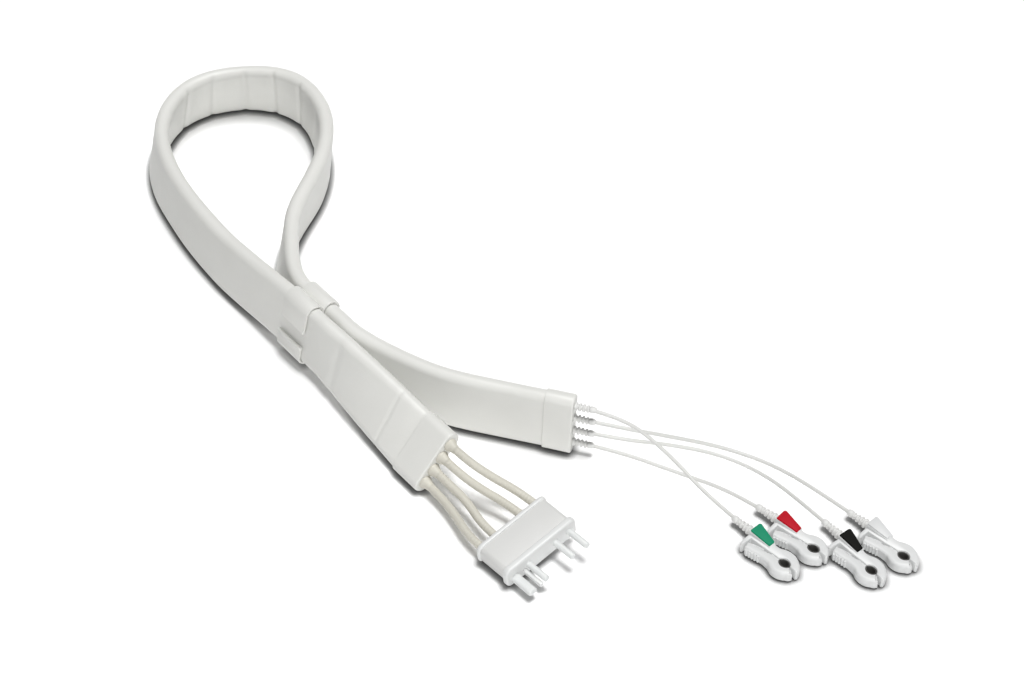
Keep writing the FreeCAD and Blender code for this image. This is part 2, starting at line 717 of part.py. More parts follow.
def fixed_jaw():
    """Jaw that holds the lead: wedge, neck, upper half of the head and the two hinge cheeks."""
    upper = MOUTH_Y + MOUTH_GAP / 2
    shoulder = LEVER_BACK_Y + LEVER_LIFT
    neck_out = NECK_X + NECK_RUN
    head_out = HOLE_X + HEAD_REACH
    outline = closed([
        flat(0, shoulder / 2),
        flat(0, BACK_HALF - BACK_CORNER),
        flat(BACK_CORNER, BACK_HALF),
        *curve(flat(NECK_X, WEDGE_TIP_Y), flat(NECK_X + NECK_RUN / 2, NECK_HALF), flat(neck_out, NECK_SIDE)),
        *curve(flat(neck_out, NECK_SIDE), flat(HOLE_X, HEAD_HALF), flat(head_out, HEAD_SIDE)),
        *curve(flat(head_out, HEAD_SIDE), flat(CLIP_LENGTH - BACK_CORNER / 2, HEAD_SIDE / 2), flat(CLIP_LENGTH, upper)),
        *contact_seat(),
        flat(NECK_X, SLIT_Y),
        flat(SHOULDER_X, SLIT_Y),
        flat(SHOULDER_X, shoulder),
        flat(BACK_CORNER / 2, shoulder + BACK_CORNER / 2),
    ])
    body = prism(outline, Vec(0, 0, CLIP_THICK))
    wedge = prism(wedge_plan(0), Vec(0, 0, 4 * CLIP_THICK)).common(sloped_slab(2 * CLIP_THICK, 0))
    body = body.fuse(wedge)
    body = body.fuse(clip_disc(KNUCKLE_R, 0, CLIP_THICK))
    body = body.cut(clip_disc(KNUCKLE_R + KNUCKLE_GAP, CHEEK, CLIP_THICK - CHEEK))
    pin_bore = pivot_bar(PIVOT_PIN_R, 0, CLIP_THICK)
    return body.cut(pin_bore).cut(colour_tab(FIT_GAP)).cut(spring_foot(FIT_GAP / 2))


def lever_outer(x):
    """Outer side of the lever's finger grip in plan."""
    return mix((LEVER_BACK_Y, -NECK_HALF), (x - LEVER_BACK_X) / (NECK_X - LEVER_BACK_X))


def lever_inner(x):
    """Side of the lever's grip that faces the slit, in plan."""
    return SLIT_Y - mix((LEVER_REST_GAP, LEVER_NECK_GAP), (x - LEVER_BACK_X) / (NECK_X - LEVER_BACK_X))


def lever_jaw():
    """Jaw that opens: ribbed finger grip, hinge tongue and the lower half of the head."""
    lower = MOUTH_Y - MOUTH_GAP / 2
    tip = CLIP_LENGTH - JAW_SETBACK
    waist = NECK_X - NECK_RUN
    back_inner = lever_inner(LEVER_BACK_X)
    front_inner = lever_inner(NECK_X)
    corner = LEVER_BACK_X + LEVER_CORNER
    head_in = HOLE_X - HEAD_REACH - LEVER_CORNER
    head_out = HOLE_X + HEAD_REACH - JAW_SETBACK / 2
    outline = closed([
        flat(LEVER_BACK_X, back_inner),
        flat(LEVER_BACK_X, LEVER_BACK_Y + LEVER_CORNER),
        flat(corner, lever_outer(corner)),
        *curve(flat(waist, lever_outer(waist)), flat(PIVOT_X - NECK_RUN / 2, LEVER_NECK_Y), flat(head_in, -NECK_SIDE)),
        *curve(flat(head_in, -NECK_SIDE), flat(HOLE_X - LEVER_CORNER, -HEAD_HALF), flat(head_out, -HEAD_SIDE)),
        *curve(flat(head_out, -HEAD_SIDE), flat(tip - LEVER_CORNER, (lower - HEAD_SIDE) / 2), flat(tip, lower)),
        flat(HOLE_X - STUD_R, lower),
        flat(NECK_X, front_inner),
    ])
    height = CLIP_THICK - 2 * LEVER_LIFT
    body = prism(outline, Vec(0, 0, height)).translated(Vec(0, 0, LEVER_LIFT))
    for rib in range(GRIP_RIBS):
        x = LEVER_BACK_X + GRIP_RIB_INSET + GRIP_RIB_R + rib * GRIP_RIB_PITCH
        foot = Vec(x, lever_outer(x), LEVER_LIFT + GRIP_RIB_INSET)
        corners = [foot + Vec(a * GRIP_RIB_R, b * GRIP_RIB_R, 0) for a, b in ((1, 1), (0, -1), (-1, 1), (1, 1))]
        body = body.fuse(prism(Part.makePolygon(corners), Vec(0, 0, height - 2 * GRIP_RIB_INSET)))
    clear_r = KNUCKLE_R + KNUCKLE_GAP
    body = body.cut(clip_disc(clear_r, 0, CHEEK + KNUCKLE_GAP))
    body = body.cut(clip_disc(clear_r, CLIP_THICK - CHEEK - KNUCKLE_GAP, CLIP_THICK))
    tongue = clip_disc(KNUCKLE_R, CHEEK + KNUCKLE_GAP, CLIP_THICK - CHEEK - KNUCKLE_GAP)
    body = body.fuse(tongue)
    return body.cut(pivot_bar(PIVOT_PIN_R + PIVOT_RUN_GAP, 0, CLIP_THICK)).cut(stud())


def spring_foot(grow=0.0):
    """Foot of the leaf spring, let into the fixed jaw's side of the slit."""
    low = (CLIP_THICK - SPRING_HEIGHT) / 2 - grow
    return Part.makeBox(
        SPRING_THICK + 2 * grow, SPRING_FOOT + grow, SPRING_HEIGHT + 2 * grow,
        Vec(SPRING_ROOT_X - grow, SLIT_Y, low))


def leaf_spring():
    """Bent plastic leaf in the slit, which pushes the lever's grip outwards."""
    low = (CLIP_THICK - SPRING_HEIGHT) / 2
    root_y = SLIT_Y - SPRING_CLEAR
    tip_y = lever_inner(SPRING_TIP_X) + SPRING_CLEAR
    upper_root = flat(SPRING_ROOT_X, root_y)
    upper_tip = flat(SPRING_TIP_X, tip_y + SPRING_THICK)
    lower_root = flat(SPRING_ROOT_X + SPRING_THICK, root_y - SPRING_THICK)
    lower_tip = flat(SPRING_TIP_X, tip_y)
    foot = Vec(0, SLIT_Y + SPRING_FOOT, 0)
    bow = Vec(0, SPRING_BOW, 0)
    leaf = closed([
        flat(lower_root.x, foot.y),
        flat(upper_root.x, foot.y),
        *curve(upper_root, (upper_root + upper_tip) / 2 + bow, upper_tip),
        *curve(lower_tip, (lower_tip + lower_root) / 2 + bow, lower_root),
    ])
    return prism(leaf, Vec(0, 0, SPRING_HEIGHT)).translated(Vec(0, 0, low))


def contact_seat():
    """Places along the fixed jaw's half of the hole, where the contact sits."""
    upper = MOUTH_Y + MOUTH_GAP / 2
    reach = math.sqrt(JAW_HOLE_R ** 2 - (MOUTH_GAP / 2) ** 2)
    return curve(flat(HOLE_X + reach, upper), flat(HOLE_X, MOUTH_Y + JAW_HOLE_R), flat(HOLE_X - reach, upper))


def stud():
    """Electrode stud that the jaws close on."""
    return cylinder(STUD_R, Vec(HOLE_X, MOUTH_Y, 0), Vec(0, 0, CLIP_THICK))


def jaw_contact():
    """Half ring of conductive plastic that lines the fixed jaw's side of the stud hole."""
    half_disc = prism(closed(contact_seat()), Vec(0, 0, CLIP_THICK - 2 * CONTACT_INSET))
    return half_disc.translated(Vec(0, 0, CONTACT_INSET)).cut(stud())


def clip_parts():
    """The pieces of one clip by name, in the clip's own frame: back at x = 0, underside at z = 0."""
    pin = pivot_bar(PIVOT_PIN_R, PIN_END_GAP, CLIP_THICK - PIN_END_GAP)
    return {
        "clip_body": fixed_jaw(),
        "clip_lever": lever_jaw(),
        "clip_tab": colour_tab(),
        "clip_pivot_pin": pin,
        "clip_spring": leaf_spring(),
        "clip_contact": jaw_contact(),
        "clip_boot": placed(clip_boot(), Vec(0, BOOT_Y, BOOT_Z), Vec(1, 0, 0)),
    }


def add_ribbon(parts, stations):
    """Sleeve, inner cables, keeper and end caps."""
    first = stations[0]
    last = stations[-1]
    parts["ribbon_sleeve"] = ribbon_sleeve(stations)
    for number, rank in enumerate(CABLE_RANKS, 1):
        parts[f"ribbon_cable_{number}"] = ribbon_cable(stations, rank)
    caps = heading(KEEPER_HEADING)
    middle = Station(KEEPER_PLACE.x, KEEPER_PLACE.y, -caps, KEEPER_LEAN, FRONT_LIFT)
    parts["loop_keeper"] = placed(keeper(), middle.place, caps, middle.width)
    reach = CAP_END + CAP_SEAT
    plug_cap = cap(PLUG_CAP_LENGTH, GROMMET_NECK_D / 2 + FIT_GAP)
    lead_cap = cap(LEAD_CAP_LENGTH, BOOT_NECK_D / 2 + FIT_GAP)
    parts["plug_end_cap"] = placed(plug_cap, first.place - first.along * reach, -first.along, first.width)
    parts["lead_end_cap"] = placed(lead_cap, last.place + last.along * reach, last.along, last.width)


def add_plug(parts, first):
    """Plug with its contacts, and the four cables and grommets between it and the ribbon."""
    along = heading(PLUG_HEADING)
    roll = math.radians(PLUG_ROLL)
    side = Vec(-along.y, along.x, 0)
    row_way = side * math.cos(roll) + UP * math.sin(roll)
    upward = UP * math.cos(roll) - side * math.sin(roll)
    lift = (PLATE_WIDTH / 2 - PLATE_CORNER) * math.sin(roll) + PLATE_CORNER * (1 - math.cos(roll))
    base = PLUG_PLACE + UP * lift
    out = -first.along
    reach = CAP_END + CAP_SEAT
    collars = []
    parts["plug_housing"] = placed(plug_housing(), base, along, upward)
    parts["plug_plate"] = placed(plug_plate(), base, along, upward)
    for number, rank in enumerate(CABLE_RANKS, 1):
        row = CONTACT_ROWS[number - 1]
        entry = base + row_way * row + upward * PLUG_MIDDLE
        shape = contact() if number < len(CABLE_RANKS) else blade()
        name = f"contact_pin_{number}" if number < len(CABLE_RANKS) else "contact_blade"
        parts[name] = placed(shape, entry, along, upward)
        start = first.exit(rank)
        stop = entry + along * CABLE_STOP
        points = [start, start + out * (CABLE_EXIT_RUN + reach), CABLE_MIDDLES[number - 1]]
        points += [stop - along * CABLE_PLUG_RUN, stop]
        parts[f"plug_cable_{number}"] = cord(f"plug_cable_{number}", points, CABLE_D)
        collars.append(placed(grommet(), start + out * reach, out, first.width))
    parts["cable_grommets"] = Part.makeCompound(collars)


def add_leads(parts, last):
    """Four leads, each with a boot at the cap and a clip at its end."""
    reach = CAP_END + CAP_SEAT
    pieces = clip_parts()
    for rank, (colour, tip, angle, middles) in zip(CABLE_RANKS, LEADS):
        along = heading(angle)
        aside = Vec(-along.y, along.x, 0)
        start = last.exit(rank)
        line_in = tip + Vec(0, 0, BOOT_Z)
        origin = tip + along * CLIP_BOOT_LENGTH - aside * BOOT_Y
        stop = line_in + along * CLIP_BOOT_LENGTH
        points = [start, start + last.along * EXIT_RUN] + list(middles) + [stop - along * CLIP_RUN, stop]
        parts[f"{colour}_lead"] = cord(f"{colour}_lead", points, LEAD_D)
        parts[f"{colour}_exit_boot"] = placed(exit_boot(), start + last.along * reach, last.along, last.width)
        for name, shape in pieces.items():
            parts[f"{colour}_{name}"] = placed(shape, origin, along)


def main():
    """Build every piece and write one file for each."""
    os.makedirs("parts", exist_ok=True)
    stations = ribbon_stations()
    parts = {}
    add_ribbon(parts, stations)
    add_plug(parts, stations[0])
    add_leads(parts, stations[-1])
    for name, shape in parts.items():
        shape.exportStep(f"parts/{name}.step")
    print(len(parts), "pieces,", len(stations), "ribbon sections")


main()
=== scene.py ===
"""ECG lead set on a white table: padded ribbon, keeper, plug and four pinch clips."""

import logging
import math
from dataclasses import dataclass, field
from enum import Enum

import bmesh
import bpy
import numpy as np
from bpy.types import Mesh, NodeSocket, NodeTree, Object
from mathutils import Matrix, Vector

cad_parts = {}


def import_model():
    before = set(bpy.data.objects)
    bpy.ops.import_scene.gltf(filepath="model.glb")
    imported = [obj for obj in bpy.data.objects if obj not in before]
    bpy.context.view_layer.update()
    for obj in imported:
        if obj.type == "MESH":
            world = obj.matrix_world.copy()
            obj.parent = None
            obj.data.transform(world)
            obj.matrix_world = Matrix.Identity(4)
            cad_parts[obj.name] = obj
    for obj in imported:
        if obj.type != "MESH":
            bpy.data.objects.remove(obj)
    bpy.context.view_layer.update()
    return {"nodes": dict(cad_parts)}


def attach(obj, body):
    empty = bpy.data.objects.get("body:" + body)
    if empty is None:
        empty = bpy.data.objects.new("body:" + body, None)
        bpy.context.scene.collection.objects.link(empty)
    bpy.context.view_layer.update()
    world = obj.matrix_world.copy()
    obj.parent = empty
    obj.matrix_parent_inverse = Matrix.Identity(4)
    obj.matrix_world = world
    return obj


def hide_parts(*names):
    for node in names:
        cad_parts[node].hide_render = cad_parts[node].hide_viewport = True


LOG = logging.getLogger("lead_set")
MM = 0.001
ROOT = "lead_set"
# bands of a wave texture in one unit at scale 1
WAVE_BANDS = 10 / math.pi
# radius at the poles of a turned piece, in millimetres
AXIS = 0.02


class Surface(Enum):
    """How a surface was made, which sets its fine relief."""

    MOULDED = "moulded"
    FOAM = "foam"
    SHEATH = "sheath"


def linear(code: str) -> tuple[float, float, float, float]:
    """Linear colour of an sRGB hex value.

    Args:
        code: six hex digits.
    Returns:
        Red, green, blue and an alpha of 1.
    """
    parts = [int(code[i:i + 2], 16) / 255 for i in (0, 2, 4)]
    return tuple([p / 12.92 if p <= 0.04045 else ((p + 0.055) / 1.055) ** 2.4 for p in parts] + [1.0])


def add_node(tree: NodeTree, kind: str, inputs: dict | None = None, **settings) -> bpy.types.Node:
    """Adds a node with its settings, values and links.

    Args:
        tree: the tree that gets the node.
        kind: Blender's name of the node.
        inputs: value or output socket for each input, by name or number.
        settings: the node's own properties.
    Returns:
        The new node.
    """
    node = tree.nodes.new(kind)
    for name, value in settings.items():
        setattr(node, name, value)
    for key, value in (inputs or {}).items():
        if isinstance(value, NodeSocket):
            tree.links.new(value, node.inputs[key])
        else:
            node.inputs[key].default_value = value
    return node


@dataclass(frozen=True)
class Finish:
    """One material: what it is, how it was made, and the sizes of its fine relief in millimetres.

    rings counts the rings along a cord, uneven is the swing of the roughness, cell the width of a foam
    cell in grains, and depth the height of the relief in grains.
    """

    name: str
    colour: str
    shade: str
    surface: Surface
    roughness: float
    ior: float = 1.5
    cloud_mm: float = 30.0
    grain_mm: float = 0.6
    relief: float = 0.12
    sheen: float = 0.0
    rings: float = 0.0
    uneven: float = 0.07
    cell: float = 2.2
    depth: float = 0.5

    def material(self) -> bpy.types.Material:
        """Builds the material once, and returns it on later calls.

        Returns:
            The material, the same one each time.
        """
        found = bpy.data.materials.get(self.name)
        if found:
            return found
        made = bpy.data.materials.new(self.name)
        made.use_nodes = True
        tree = made.node_tree
        shader = tree.nodes["Principled BSDF"]
        shader.inputs["IOR"].default_value = self.ior
        shader.inputs["Sheen Weight"].default_value = self.sheen
        coords = add_node(tree, "ShaderNodeTexCoord").outputs
        place = coords["Object"]
        # broad clouding: pale parts handled in use are never one even colour
        cloud = add_node(tree, "ShaderNodeTexNoise", {
            "Vector": place, "Scale": 1 / (self.cloud_mm * MM), "Detail": 3.0, "Roughness": 0.55})
        tint = add_node(tree, "ShaderNodeMix", {
            0: cloud.outputs["Fac"], 6: linear(self.colour), 7: linear(self.shade)}, data_type="RGBA")
        tree.links.new(tint.outputs[2], shader.inputs["Base Color"])
        # fine grain of the tool or foam, drawn as coarse as it needs to show
        grain = add_node(tree, "ShaderNodeTexNoise", {
            "Vector": place, "Scale": 1 / (self.grain_mm * MM), "Detail": 2.0})
        relief = grain.outputs["Fac"]
        if self.surface is Surface.FOAM:
            cells = add_node(tree, "ShaderNodeTexVoronoi", {
                "Vector": place, "Scale": 1 / (self.grain_mm * self.cell * MM)}, feature="SMOOTH_F1")
            relief = add_node(tree, "ShaderNodeMath", {0: relief, 1: cells.outputs["Distance"]},
                              operation="ADD").outputs[0]
        if self.surface is Surface.SHEATH and self.rings:
            # rings left by the lay of the wires under the sheath, drawn coarser than real so that they show
            bands = add_node(tree, "ShaderNodeTexWave", {
                "Vector": coords["UV"], "Scale": self.rings / WAVE_BANDS},
                wave_type="BANDS", bands_direction="X")
            relief = add_node(tree, "ShaderNodeMath", {0: relief, 1: bands.outputs["Fac"]},
                              operation="ADD").outputs[0]
        rough = add_node(tree, "ShaderNodeMapRange", {
            "Value": cloud.outputs["Fac"], "To Min": self.roughness - self.uneven,
            "To Max": self.roughness + self.uneven})
        tree.links.new(rough.outputs[0], shader.inputs["Roughness"])
        bump = add_node(tree, "ShaderNodeBump", {
            "Height": relief, "Strength": self.relief, "Distance": self.grain_mm * MM * self.depth})
        tree.links.new(bump.outputs[0], shader.inputs["Normal"])
        return made


# Soft PVC sleeve, extruded over foam: grey-white with a low, broad sheen and soft clouding
SLEEVE = Finish("soft_pvc_sleeve", "D7D7D3", "CFCFCB", Surface.FOAM, 0.48, grain_mm=1.4, relief=0.07,
                sheen=0.05)
# Soft PVC cable sheath, extruded: warm beige-white, a low sheen along its length and faint rings
CABLE = Finish("soft_pvc_cable_sheath", "C6C3B8", "BAB7AC", Surface.SHEATH, 0.5, grain_mm=0.7, relief=0.36,
               rings=42.0)
# Thin lead sheath, thermoplastic elastomer: paler and smoother than the thick cables
LEAD = Finish("tpe_lead_sheath", "CBCBC8", "C0C0BD", Surface.SHEATH, 0.42, grain_mm=0.5, relief=0.05)
# Moulded PVC of caps and keeper: the sleeve's own tone, smoother and harder
SHELL = Finish("moulded_pvc_shell", "D4D4D0", "CDCDC9", Surface.MOULDED, 0.45, grain_mm=0.8, relief=0.06)
# Moulded ABS of the plug: satin, more neutral than the sleeve, with a fine spark-eroded grain
ABS = Finish("moulded_abs_satin", "C8C8C6", "C2C2C0", Surface.MOULDED, 0.45, ior=1.53, relief=0.06)
# The same ABS on the plug's rims, from a polished part of the tool: smoother, and painted paler than the shell
# as a painted highlight
ABS_PAINTED_HIGHLIGHT = Finish("moulded_abs_polished", "D0D1D0", "CACBCA", Surface.MOULDED, 0.36, ior=1.53, relief=0.04)
# Moulded acetal of contacts: slightly waxy, cool white
ACETAL = Finish("moulded_acetal_pale", "D2D4D3", "CACCCB", Surface.MOULDED, 0.42, ior=1.48, relief=0.05)
# Moulded polypropylene of the clips: pale, smooth and a little glossy on its rounded edges
CLIP = Finish("moulded_polypropylene", "CFD0CF", "C7C8C8", Surface.MOULDED, 0.4, ior=1.49, relief=0.05)
# Moulded elastomer of the boots: pale, dull and soft-looking
BOOT = Finish("moulded_tpe_boot", "D3D3D1", "C9C9C7", Surface.MOULDED, 0.48, relief=0.06)
# Carbon-filled plastic of the jaw contact: dark, dull
CARBON = Finish("carbon_filled_plastic", "2E2D2A", "232320", Surface.MOULDED, 0.6, relief=0.15)
# Moulded ABS of the thumb pads: one strong even colour, dull on top
TABS = {
    "green": Finish("moulded_abs_green", "178663", "107A59", Surface.MOULDED, 0.55, ior=1.22, relief=0.06),
    "white": Finish("moulded_abs_white", "CACBCB", "C2C3C3", Surface.MOULDED, 0.45, ior=1.4, relief=0.06),
    "black": Finish("moulded_abs_black", "060604", "0A0A08", Surface.MOULDED, 0.6, ior=1.15, relief=0.06),
    "red": Finish("moulded_abs_red", "B30D21", "A40A1C", Surface.MOULDED, 0.55, ior=1.2, relief=0.06),
}


def linked(name: str, data: bpy.types.ID | None) -> Object:
    """New object in the scene.

    Args:
        name: its name.
        data: its mesh, curve, lamp or camera.
    Returns:
        The object.
    """
    obj = bpy.data.objects.new(name, data)
    bpy.context.collection.objects.link(obj)
    return obj


def quarter(steps: int) -> list:
    """Sine and cosine at even steps over a quarter turn."""
    return [(math.sin(math.pi / 2 * i / steps), math.cos(math.pi / 2 * i / steps)) for i in range(steps + 1)]


def heading(degrees: float) -> Vector:
    """Unit vector on the table at an angle from +X."""
    return Vector((math.cos(math.radians(degrees)), math.sin(math.radians(degrees)), 0.0))


def frame_at(origin: Vector, along: Vector, upward: Vector = Vector((0, 0, 1))) -> Matrix:
    """Matrix from local millimetres to the row frame in metres.

    Args:
        origin: local origin, in millimetres.
        along: direction of local X.
        upward: direction of local Z.
    Returns:
        The 4 by 4 matrix.
    """
    across = upward.cross(along)
    rows = [[along[i] * MM, across[i] * MM, upward[i] * MM, origin[i] * MM] for i in range(3)]
    return Matrix(rows + [[0, 0, 0, 1]])


def mesh_of(points: list, faces: list) -> Mesh:
    """Mesh from points and faces, with faces turned outwards.

    Args:
        points: its corners.
        faces: corner numbers of each face.
    Returns:
        The mesh.
    """
    mesh = bpy.data.meshes.new("piece")
    mesh.from_pydata([tuple(p) for p in points], [], faces)
    work = bmesh.new()
    work.from_mesh(mesh)
    bmesh.ops.remove_doubles(work, verts=work.verts, dist=1e-7)
    bmesh.ops.recalc_face_normals(work, faces=work.faces)
    work.to_mesh(mesh)
    work.free()
    return mesh


def loft(rings: list, close_start: bool = True, close_end: bool = True) -> Mesh:
    """Skin through rings of equal counts.

    Args:
        rings: lists of points.
        close_start: whether the first ring is filled.
        close_end: whether the last ring is filled.
    Returns:
        The mesh.
    """
    count = len(rings[0])
    points = [p for ring in rings for p in ring]
    faces = []
    for row in range(len(rings) - 1):
        base = row * count
        faces += [(base + i, base + (i + 1) % count, base + count + (i + 1) % count, base + count + i)
                  for i in range(count)]
    if close_start:
        faces.append(tuple(range(count)))
    if close_end:
        faces.append(tuple(range(len(points) - count, len(points))))
    return mesh_of(points, faces)


def lathe(profile: list, steps: int = 40) -> Mesh:
    """Turned skin about local X from (x, radius) corners, closed on itself where the ends meet.

    Args:
        profile: (x, radius) corners.
        steps: corners in a turn.
    Returns:
        The mesh.
    """
    turns = [2 * math.pi * i / steps for i in range(steps)]
    rings = [[(x, radius * math.cos(turn), radius * math.sin(turn)) for turn in turns] for x, radius in profile]
    ends = profile[0] == profile[-1]
    return loft(rings, not ends, not ends)


def slab(outline: list, low: float, high: float) -> Mesh:
    """Flat plate from an outline in the local XY plane."""
    return loft([[(x, y, low) for x, y in outline], [(x, y, high) for x, y in outline]])


def domed(outline: list, low: float, high: float, radius: float, foot: float = 0.3) -> Mesh:
    """Plate with a rounded top edge.

    Args:
        outline: places in the local XY plane as (x, y, share of the rounding).
        low: height of the underside.
        high: height of the top.
        radius: the rounding's size.
        foot: chamfer at the underside.
    Returns:
        The mesh.
    """
    spots = [Vector((x, y)) for x, y, _ in outline]
    if sum(a.cross(b) for a, b in zip(spots, spots[1:] + spots[:1])) < 0:
        spots, outline = spots[::-1], outline[::-1]
    inward = []
    for before, after in zip(spots[-1:] + spots[:-1], spots[1:] + spots[:1]):
        way = (after - before).normalized()
        inward.append(Vector((-way.y, way.x)))

    def ring(height: float, inset: float) -> list:
        """Outline at a height, drawn in by an inset."""
        return [(p.x + n.x * inset * share, p.y + n.y * inset * share, height)
                for p, n, (_, _, share) in zip(spots, inward, outline)]

    rings = [ring(low, foot), ring(low + foot, 0)]
    rings += [ring(high - radius + radius * sine, radius * (1 - cosine)) for sine, cosine in quarter(7)]
    return loft(rings)


def shared(places: list, share: float) -> list:
    """Places of an outline with their share of the rounding."""
    return [(x, y, share) for x, y in places]


def through(start: tuple, middle: tuple, end: tuple, steps: int = 10) -> list:
    """Places along a round curve through three places in a plane.

    Args:
        start: first place.
        middle: a place between.
        end: last place.
        steps: how many runs.
    Returns:
        The places, both ends among them.
    """
    (ax, ay), (bx, by), (cx, cy) = start, middle, end
    d = 2 * (ax * (by - cy) + bx * (cy - ay) + cx * (ay - by))
    ux = ((ax**2 + ay**2) * (by - cy) + (bx**2 + by**2) * (cy - ay) + (cx**2 + cy**2) * (ay - by)) / d
    uy = ((ax**2 + ay**2) * (cx - bx) + (bx**2 + by**2) * (ax - cx) + (cx**2 + cy**2) * (bx - ax)) / d
    radius = math.hypot(ax - ux, ay - uy)
    first, mid, last = (math.atan2(y - uy, x - ux) for x, y in (start, middle, end))
    sweep = (last - first) % (2 * math.pi)
    if (mid - first) % (2 * math.pi) > sweep:
        sweep -= 2 * math.pi
    turns = [first + sweep * i / steps for i in range(steps + 1)]
    return [(ux + radius * math.cos(turn), uy + radius * math.sin(turn)) for turn in turns]


def combine(base: Mesh, join: tuple = (), cut: tuple = ()) -> Mesh:
    """Solid union and difference of closed meshes.

    Args:
        base: the mesh to start from.
        join: meshes to add to it.
        cut: meshes to take away.
    Returns:
        The resulting mesh.
    """
    target = linked("base", base)
    helpers = []
    for tools, operation in ((join, "UNION"), (cut, "DIFFERENCE")):
        for tool in tools:
            helpers.append(linked("tool", tool))
            step = target.modifiers.new("solid", "BOOLEAN")
            step.operation, step.solver, step.object = operation, "MANIFOLD", helpers[-1]
    result = evaluated(target)
    for item in helpers + [target]:
        bpy.data.objects.remove(item)
    return result


def evaluated(obj: Object) -> Mesh:
    """Plain mesh of an object with its modifiers.

    Args:
        obj: the object.
    Returns:
        A new mesh.
    """
    graph = bpy.context.evaluated_depsgraph_get()
    graph.update()
    return bpy.data.meshes.new_from_object(obj.evaluated_get(graph))


def soften(mesh: Mesh, width: float, angle: float = 30.0, segments: int = 2) -> Mesh:
    """Rounds the sharp edges of a mesh by a width in the mesh's own units.

    Args:
        mesh: the mesh.
        width: size of the rounding.
        angle: edges over this angle are sharp.
        segments: faces across the rounding.
    Returns:
        The rounded mesh.
    """
    obj = linked("edges", mesh)
    bevel = obj.modifiers.new("edges", "BEVEL")
    bevel.width, bevel.segments, bevel.limit_method = width, segments, "ANGLE"
    bevel.angle_limit = math.radians(angle)
    bevel.harden_normals = False
    result = evaluated(obj)
    bpy.data.objects.remove(obj)
    return result


def merged(meshes: list) -> Mesh:
    """One mesh that holds several.

    Args:
        meshes: the meshes.
    Returns:
        The mesh.
    """
    work = bmesh.new()
    for mesh in meshes:
        work.from_mesh(mesh)
    result = bpy.data.meshes.new("piece")
    work.to_mesh(result)
    work.free()
    return result


def piece(name: str, mesh: Mesh, place: Matrix, finish: Finish, body: str, slot: str, *nodes: str,
          smooth: float = 35.0) -> Object:
    """Finished piece in the row frame, which rides on a body and stands for its nodes.

    Args:
        name: the piece's name.
        mesh: its mesh in local millimetres.
        place: matrix from local millimetres to the row frame.
        finish: its material.
        body: the body that it moves with.
        slot: not used.
        nodes: the CAD nodes that it replaces.
        smooth: edges under this angle are shaded smooth.
    Returns:
        The new object.
    """
    mesh = mesh.copy()
    mesh.transform(place)
    mesh.materials.clear()
    mesh.materials.append(finish.material())
    mesh.name = name
    mesh.set_sharp_from_angle(angle=math.radians(smooth))
    for polygon in mesh.polygons:
        polygon.use_smooth = True
        polygon.material_index = 0
    obj = linked(name, mesh)
    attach(obj, body)
    if nodes:
        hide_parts(*nodes)
    LOG.info("%s: %d faces", name, len(mesh.polygons))
    return obj


def rib_tree() -> NodeTree:
    """Geometry tree that sets equal ribs in a row along X: rings that taper, or upright bars.

    Returns:
        The tree, the same one each time.
    """
    tree = bpy.data.node_groups.get("rib_row")
    if tree:
        return tree
    tree = bpy.data.node_groups.new("rib_row", "GeometryNodeTree")
    face = tree.interface
    face.new_socket("Geometry", in_out="OUTPUT", socket_type="NodeSocketGeometry")
    for kind, names in (("Int", ("Count",)), ("Bool", ("Bars",)), ("Material", ("Material",)), ("Float", (
            "Step", "Side Step", "First Radius", "Last Radius", "Rib Radius", "Bar Height"))):
        for name in names:
            face.new_socket(name, in_out="INPUT", socket_type=f"NodeSocket{kind}")
    given = add_node(tree, "NodeGroupInput").outputs
    step = add_node(tree, "ShaderNodeCombineXYZ", {"X": given["Step"], "Y": given["Side Step"]})
    row = add_node(tree, "GeometryNodeMeshLine", {"Count": given["Count"], "Offset": step.outputs[0]},
                   mode="OFFSET")
    last = add_node(tree, "ShaderNodeMath", {0: given["Count"], 1: 1.0}, operation="SUBTRACT")
    size = add_node(tree, "ShaderNodeMapRange", {
        "Value": add_node(tree, "GeometryNodeInputIndex").outputs[0], "From Max": last.outputs[0],
        "To Min": given["First Radius"], "To Max": given["Last Radius"]})
    hoop = add_node(tree, "GeometryNodeCurvePrimitiveCircle", {"Resolution": 40, "Radius": 1.0})
    thin = add_node(tree, "ShaderNodeMath", {0: given["Rib Radius"], 1: given["First Radius"]},
                    operation="DIVIDE")
    bead = add_node(tree, "GeometryNodeCurvePrimitiveCircle", {"Resolution": 12, "Radius": thin.outputs[0]})
    ring = add_node(tree, "GeometryNodeCurveToMesh", {
        "Curve": hoop.outputs["Curve"], "Profile Curve": bead.outputs["Curve"]})
    turned = add_node(tree, "GeometryNodeTransform", {
        "Geometry": ring.outputs[0], "Rotation": (0.0, math.pi / 2, 0.0)})
    spread = add_node(tree, "ShaderNodeCombineXYZ", {axis: size.outputs[0] for axis in "XYZ"})
    rings = add_node(tree, "GeometryNodeInstanceOnPoints", {
        "Points": row.outputs[0], "Instance": turned.outputs[0], "Scale": spread.outputs[0]})
    post = add_node(tree, "GeometryNodeMeshCylinder", {
        "Vertices": 16, "Radius": given["Rib Radius"], "Depth": given["Bar Height"]})
    bars = add_node(tree, "GeometryNodeInstanceOnPoints", {
        "Points": row.outputs[0], "Instance": post.outputs["Mesh"]})
    chosen = add_node(tree, "GeometryNodeSwitch", {
        "Switch": given["Bars"], "False": rings.outputs[0], "True": bars.outputs[0]}, input_type="GEOMETRY")
    real = add_node(tree, "GeometryNodeRealizeInstances", {"Geometry": chosen.outputs[0]})
    dressed = add_node(tree, "GeometryNodeSetMaterial", {
        "Geometry": real.outputs[0], "Material": given["Material"]})
    add_node(tree, "NodeGroupOutput", {"Geometry": dressed.outputs[0]})
    return tree


